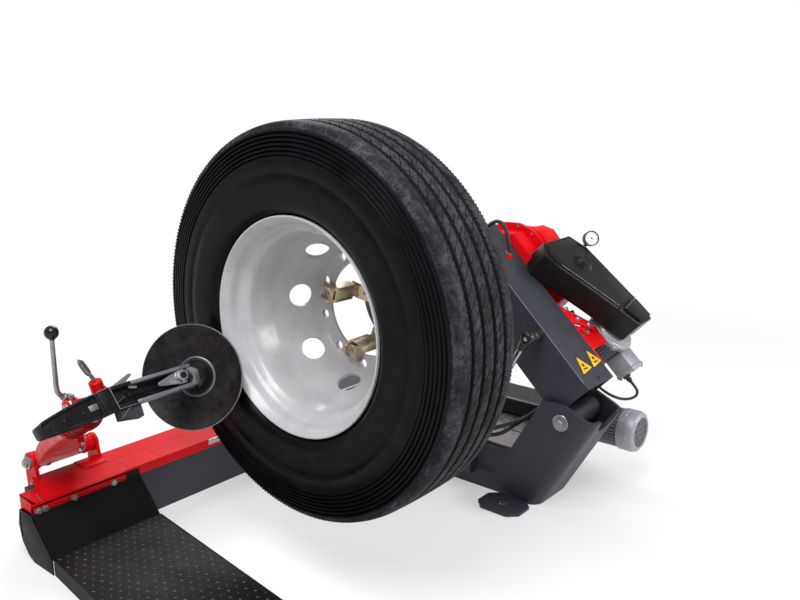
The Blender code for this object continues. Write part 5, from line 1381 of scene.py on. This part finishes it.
def build_head():
    """Double-ended tool: hooked black bar, boxed collar, bent fork channel, spring, tear-drop lock plate."""
    bar = Piece("tool_bar_body", "tool_head", "black", ("tool_bar",), HEAD_FRAME)
    hook = [(-0.16, -0.011), (-0.158, -0.016), (-0.15, -0.0185), (-0.1, -0.0235), (-0.05, -0.028),
            (0.013, -0.031), (0.013, 0.031), (-0.03, 0.03), (-0.09, 0.025), (-0.145, 0.018), (-0.158, 0.014),
            (-0.16, 0.009)]
    bar.prism(hook, -0.013, 0.0215, "Y", 0.003)
    # raised border on the operator's side, which leaves a long recess
    centre = Vector((-0.07, 0, 0))
    border = [centre + Vector((x + 0.07, 0, z)) * 0.93 + Vector((0, -0.015, 0)) for x,
              z in rounded(hook, 0.004, 2)]
    bar.tube(border + border[:1], 0.0042, 12, 0)
    # boxed collar and the fork's closed root
    bar.box((0.01, -0.0198, -0.0318), (0.048, 0.0215, 0.0318), 0.003)
    bar.at = FORK_FRAME
    bar.box((-0.004, -0.006, -0.03), (0.056, 0.021, 0.03), 0.003)
    for low in (-0.0315, 0.0215):
        bar.box((-0.004, -0.0195, low), (0.06, 0.02, low + 0.01), 0.0025)
    bar.box((0.04, 0.012, -0.0305), (0.21, 0.021, 0.0305), 0.002)
    bar.done(30)

    channel = Piece("fork_flanges", "tool_head", "edge", (), FORK_FRAME)
    for side in (-1, 1):
        low, high = sorted((side * 0.0215, side * 0.0318))
        channel.box((0.056, -0.0198, low), (0.244, 0.0125, high), 0.002)
        channel.box((0.056, -0.0212, side * 0.0267 - 0.0044), (0.24, -0.0185, side * 0.0267 + 0.0044), 0.001)
    channel.box((0.234, -0.006, -0.0318), (0.244, 0.01, -0.012), 0.002)
    channel.done(30)
    lines = Piece("collar_edges", "tool_head", "edge", (), HEAD_FRAME)
    lines.tube([(0.048, -0.0203, -0.0312), (0.048, -0.0203, 0.0312)], 0.0011, 8, 0)
    lines.tube([(0.011, -0.0202, 0.0314), (0.048, -0.0202, 0.0314)], 0.001, 8, 0)
    lines.at = FORK_FRAME
    for z in (-0.0312, 0.0312):
        lines.tube([(0.0, -0.02, z), (0.056, -0.02, z)], 0.001, 8, 0)
    lines.done()

    clip = Piece("hook_clip", "tool_head", "zinc", (), HEAD_FRAME)
    clip.box((-0.024, -0.0165, -0.008), (0.001, -0.0128, 0.008), 0.0012)
    clip.box((-0.021, -0.0172, -0.0055), (-0.002, -0.016, 0.005), 0.0008)
    clip.done()
    rivets = Piece("hook_rivets", "tool_head", "black", (), HEAD_FRAME)
    for x, z in ((-0.04, -0.003), (-0.092, -0.002), (-0.135, -0.001)):
        rivets.lathe([(0, 0), (0, 0.0054), (0.0016, 0.005), (0.003, 0.0034), (0.0036, 0)],
                     basis((x, -0.013, z), (0, -1, 0)), 24)
    rivets.done()

    spring = Piece("fork_spring", "tool_head", "black", (), FORK_FRAME)
    turns, start, end, coil = 9, 0.036, 0.104, 0.0068
    helix = [(start + (end - start) * k / (turns * 12), -0.011 + coil * cos(2 * pi * k / 12),
              -0.002 + coil * sin(2 * pi * k / 12)) for k in range(turns * 12 + 1)]
    spring.tube(helix, 0.0014, 8, 0)
    spring.tube([(0.022, -0.011, -0.002), (0.032, -0.015, -0.002), (0.036, -0.005, -0.002)], 0.0014, 8, 4)
    spring.tube([(0.104, -0.005, -0.002), (0.112, -0.011, -0.002), (0.136, -0.0135, 0.0)], 0.0014, 8, 4)
    spring.rod((0.006, -0.008, -0.014), (0.03, -0.014, -0.004), 0.0036, 16)
    spring.done()
    pin = Piece("fork_cross_pin", "tool_head", "zinc", (), FORK_FRAME)
    pin.rod((0.048, -0.0135, 0.018), (0.07, -0.0135, 0.012), 0.0044, 18)
    pin.lathe([(0, 0), (0, 0.0042), (0.0014, 0.0042), (0.002, 0.003), (0.002, 0)],
              basis((0.07, -0.0212, -0.027), (0, -1, 0)), 20)
    pin.done()

    nut_x, nut_z = 0.206, 0.003
    drop = Piece("lock_plate", "tool_head", "zinc", (), FORK_FRAME)
    outline = arc((nut_x, nut_z), 0.02, -100, 100, 17) + arc((0.138, 0.0), 0.0062, 100, 260, 7)
    drop.prism(outline, -0.0165, -0.0125, "Y", 0.0008)
    drop.lathe([(0, 0), (0, 0.0188), (0.0018, 0.0188), (0.0024, 0.0178), (0.0024, 0)],
               basis((nut_x, -0.0165, nut_z), (0, -1, 0)), 40)
    drop.hexagon((nut_x, -0.0189, nut_z), (0, -1, 0), 0.03, 0.011, 0.25)
    drop.box((nut_x - 0.012, -0.013, -0.018), (nut_x + 0.022, 0.012, 0.018), 0.003)
    drop.done()
    bolt_end = Piece("lock_bolt_end", "tool_head", "black", (), FORK_FRAME)
    bolt_end.lathe([(0, 0), (0, 0.0092), (0.0026, 0.0086), (0.003, 0.006), (0.0008, 0.005), (0.0008, 0)],
                   basis((nut_x, -0.0296, nut_z), (0, -1, 0)), 28)
    bolt_end.done()

    # stack of rings between fork and disc, on the disc's own axis
    axis = basis(DISC, DISC_FACING)
    stack = Piece("bearing_rings", "tool_head", "zinc", (), axis)
    for low, high, size in ((0.018, 0.0215, 0.03), (0.0225, 0.0255, 0.0265), (0.027, 0.0305, 0.03),
                            (0.0315, 0.0345, 0.026), (0.036, 0.0395, 0.029)):
        stack.lathe([(low, 0.012), (low, size - 0.0008), (low + 0.0008, size), (high - 0.0008, size),
                     (high, size - 0.0008), (high, 0.012)], None, 56)
    stack.done()
    hub = Piece("bearing_hub", "tool_head", "black", (), axis)
    hub.lathe([(0.0172, 0), (0.0172, 0.016), (0.019, 0.02), (0.042, 0.02), (0.045, 0.016), (0.045, 0)], None,
              56)
    hub.done()

    # rubber pad under the fork's root, and the pointed plate above it
    pad = Piece("head_pad", "tool_head", "rubber", (), FORK_FRAME)
    pad.loft([[(0.004, -0.012, -0.03), (0.066, -0.012, -0.03), (0.066, 0.02, -0.03), (0.004, 0.02, -0.03)],
              [(0.0, -0.018, -0.056), (0.06, -0.016, -0.066), (0.06, 0.016, -0.066), (0.0, 0.016, -0.056)]])
    pad.done()
    pad_edge = Piece("head_pad_edge", "tool_head", "edge", (), FORK_FRAME)
    pad_edge.tube([(-0.002, -0.0185, -0.056), (0.034, -0.015, -0.033)], 0.0011, 8, 0)
    pad_edge.done()
    pointer = Piece("head_pointer_plate", "tool_head", "edge", (), HEAD_FRAME)
    pointer.prism([(0.07, 0.024), (0.102, 0.024), (0.142, 0.043), (0.135, 0.049), (0.078, 0.036)], 0.012,
                  0.016, "Y", 0.0006)
    pointer.done()
    shaft = Piece("head_shaft", "tool_head", "steel", (), basis(HEAD, HEAD_AXIS))
    shaft.lathe([(0.01, 0), (0.01, 0.018), (0.124, 0.018), (0.125, 0.017), (0.125, 0)], None, 40)
    shaft.lathe([(0.0205, 0.015), (0.0205, 0.03), (0.022, 0.032), (0.031, 0.032), (0.0325, 0.03),
                 (0.0325, 0.015)], None, 56)
    shaft.done()


def build_disc():
    """Dished bead-breaking disc, thin bright rim, domed hub and bright collar."""
    axis = basis(DISC, DISC_FACING)
    disc = Piece("disc_dish", "bead_disc", "disc", ("bead_disc",), axis)
    front = [(0.016, 0.0), (0.0158, 0.006), (0.0148, 0.012), (0.0125, 0.019), (0.0085, 0.026), (0.003, 0.032),
             (-0.005, 0.038), (-0.012, 0.042), (-0.022, 0.0455), (-0.03, 0.048), (-0.0316, 0.052),
             (-0.03, 0.06), (-0.0255, 0.078), (-0.019, 0.1), (-0.011, 0.122), (-0.004, 0.137),
             (0.002, 0.1455), (0.0036, 0.1475)]
    back = [(0.002, 0.1488), (-0.001, DISC_R), (-0.004, 0.148), (-0.008, 0.14), (-0.016, 0.123),
            (-0.024, 0.105), (-0.033, 0.078), (-0.039, 0.055), (-0.04, 0.05), (-0.04, 0.0)]
    disc.lathe(front + back, None, 128)
    disc.done(50)
    dome = Piece("disc_dome", "bead_disc", "grip", (), axis)
    dome.lathe([(0.0165, 0.0), (0.0164, 0.007), (0.0154, 0.013), (0.0131, 0.02), (0.0091, 0.027),
                (0.0036, 0.0328), (-0.0044, 0.0388), (-0.0114, 0.0428), (-0.0214, 0.0463), (-0.03, 0.0486),
                (-0.03, 0.0)], None, 96)
    dome.done(60)
    bright = Piece("disc_bright_rings", "bead_disc", "edge", (), axis)
    bright.lathe([(0.0036, 0.1468), (0.0046, 0.1476), (0.003, 0.1492), (-0.001, 0.1494), (-0.001, 0.1486),
                  (0.0024, 0.1482)], None, 128)
    bright.lathe([(-0.0308, 0.05), (-0.0285, 0.052), (-0.027, 0.0545), (-0.0285, 0.0572), (-0.0312, 0.058)],
                 None, 96)
    bright.done(60)


# ---------------------------------------------------------------- carried-over CAD nodes
CARRIED = {"powder": ("base_beam", "rail", "foot_plate_front", "foot_plate_rear", "foot_plate_rail",
                      "foot_plate_corner", "cradle", "lift_bracket", "pump_bracket"),
           "steel": ("slide_plate", "rail_strip_front", "rail_strip_back", "spindle", "worm_shaft"),
           "chrome": ("lift_rod", "travel_rod"), "plastic": ("oil_tank", "lift_barrel", "travel_barrel"),
           "motor": ("pump_block", "worm_pulley", "motor_pulley"), "brass": ("worm_wheel",),
           "rubber": ("drive_belt",), "red": ("carriage",), "tread_plate": ("footplate",),}


def finish_carried():
    """Give each carried-over node its material, smooth shading and softened edges."""
    for look, names in CARRIED.items():
        for name in names:
            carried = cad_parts.get(name)
            if carried is None:
                continue
            for index in range(len(carried.material_slots)):
                carried.material_slots[index].material = MAT[look]
            if not carried.material_slots:
                carried.data.materials.append(MAT[look])
            soft = carried.modifiers.new("soft edges", "BEVEL")
            soft.width = 0.0004 if name in ("rail_strip_front", "rail_strip_back", "drive_belt") else 0.0016
            soft.segments = 3
            soft.limit_method = "ANGLE"
            soft.angle_limit = radians(38)
            soft.harden_normals = False
            shade = carried.modifiers.new("weighted", "WEIGHTED_NORMAL")
            shade.keep_sharp = True
            carried.data.shade_smooth()


# ---------------------------------------------------------------- floor, light, camera
# each light: name, place, what it faces, size in metres, watts
LIGHTS = (
    ("key", (-2.2, -0.6, 3.2), (-0.5, 0.2, 0.4), 2.0, 105),
    ("side", (1.4, -2.8, 1.9), (0.0, 0.0, 0.6), 1.4, 55),
    ("back", (0.9, 2.2, 2.6), (-0.4, 0.3, 0.6), 1.6, 50),
)
CAMERA_PLACE = (-2.3808, -1.5753, 1.3088)
CAMERA_TURN = (76.5498, -0.0441, -50.2883)
CAMERA_LENS = 37.87
AMBIENT, BACKDROP_EXTRA = 0.45, 0.55


def build_stage():
    """Pale floor that fades into white, even studio light and the camera."""
    bm = bmesh.new()
    bmesh.ops.create_grid(bm, x_segments=1, y_segments=1, size=14.0)
    mesh = bpy.data.meshes.new("floor")
    bm.to_mesh(mesh)
    bm.free()
    floor = bpy.data.objects.new("floor", mesh)
    floor.location = (0, 0, -0.0005)
    bpy.context.scene.collection.objects.link(floor)
    made = Surface("floor_paint", roughness=0.75)
    made.colour(ramp(made.tree, made.noise(3.0, 3.0), [(0.3, (0.86, 0.86, 0.865)), (0.7, (0.9, 0.9, 0.9))]))
    glow = node(made.tree, "ShaderNodeEmission", Strength=1.0)
    glow.inputs["Color"].default_value = (1.0, 1.0, 1.0, 1.0)
    away = made.tree.nodes.new("ShaderNodeVectorMath")
    away.operation = "LENGTH"
    made.tree.links.new(made.place, away.inputs[0])
    blend = made.tree.nodes.new("ShaderNodeMixShader")
    made.tree.links.new(ramp(made.tree, maths(made.tree, "MULTIPLY", away.outputs["Value"], 0.2),
                             [(0.2, (0.4,)), (0.6, (1.0,))]), blend.inputs[0])
    made.tree.links.new(made.shader.outputs[0], blend.inputs[1])
    made.tree.links.new(glow.outputs[0], blend.inputs[2])
    made.tree.links.new(blend.outputs[0], made.tree.nodes["Material Output"].inputs["Surface"])
    mesh.materials.append(made.material)

    world = bpy.data.worlds.new("studio")
    world.use_nodes = True
    tree = world.node_tree
    sky = tree.nodes["Background"]
    seen = maths(tree, "MULTIPLY", tree.nodes.new("ShaderNodeLightPath").outputs["Is Camera Ray"],
                 BACKDROP_EXTRA)
    tree.links.new(maths(tree, "ADD", seen, AMBIENT), sky.inputs["Strength"])
    sky.inputs["Color"].default_value = (1.0, 1.0, 1.0, 1.0)
    bpy.context.scene.world = world

    for name, at, target, size, power in LIGHTS:
        light = bpy.data.lights.new(name, "AREA")
        light.size = size
        light.energy = power
        lamp = bpy.data.objects.new(name, light)
        lamp.location = at
        lamp.rotation_euler = (Vector(target) - Vector(at)).to_track_quat("-Z", "Y").to_euler()
        bpy.context.scene.collection.objects.link(lamp)

    lens = bpy.data.cameras.new("camera")
    lens.sensor_width = 36.0
    lens.lens = CAMERA_LENS
    camera = bpy.data.objects.new("camera", lens)
    camera.location = CAMERA_PLACE
    camera.rotation_euler = [radians(a) for a in CAMERA_TURN]
    bpy.context.scene.collection.objects.link(camera)
    bpy.context.scene.camera = camera
    bpy.context.scene.view_settings.view_transform = "Standard"


build_stage()
build_tyre()
build_rim()
build_chuck()
build_arm()
build_gearbox()
build_belt_cover()
build_chuck_motor()
build_motor_bracket()
build_gauge_and_hose()
build_cradle()
build_pump()
build_floor_hoses()
build_base_trim()
build_carriage_trim()
build_step()
build_tool_arm()
build_levers()
build_head()
build_disc()
finish_carried()

bpy.context.view_layer.update()
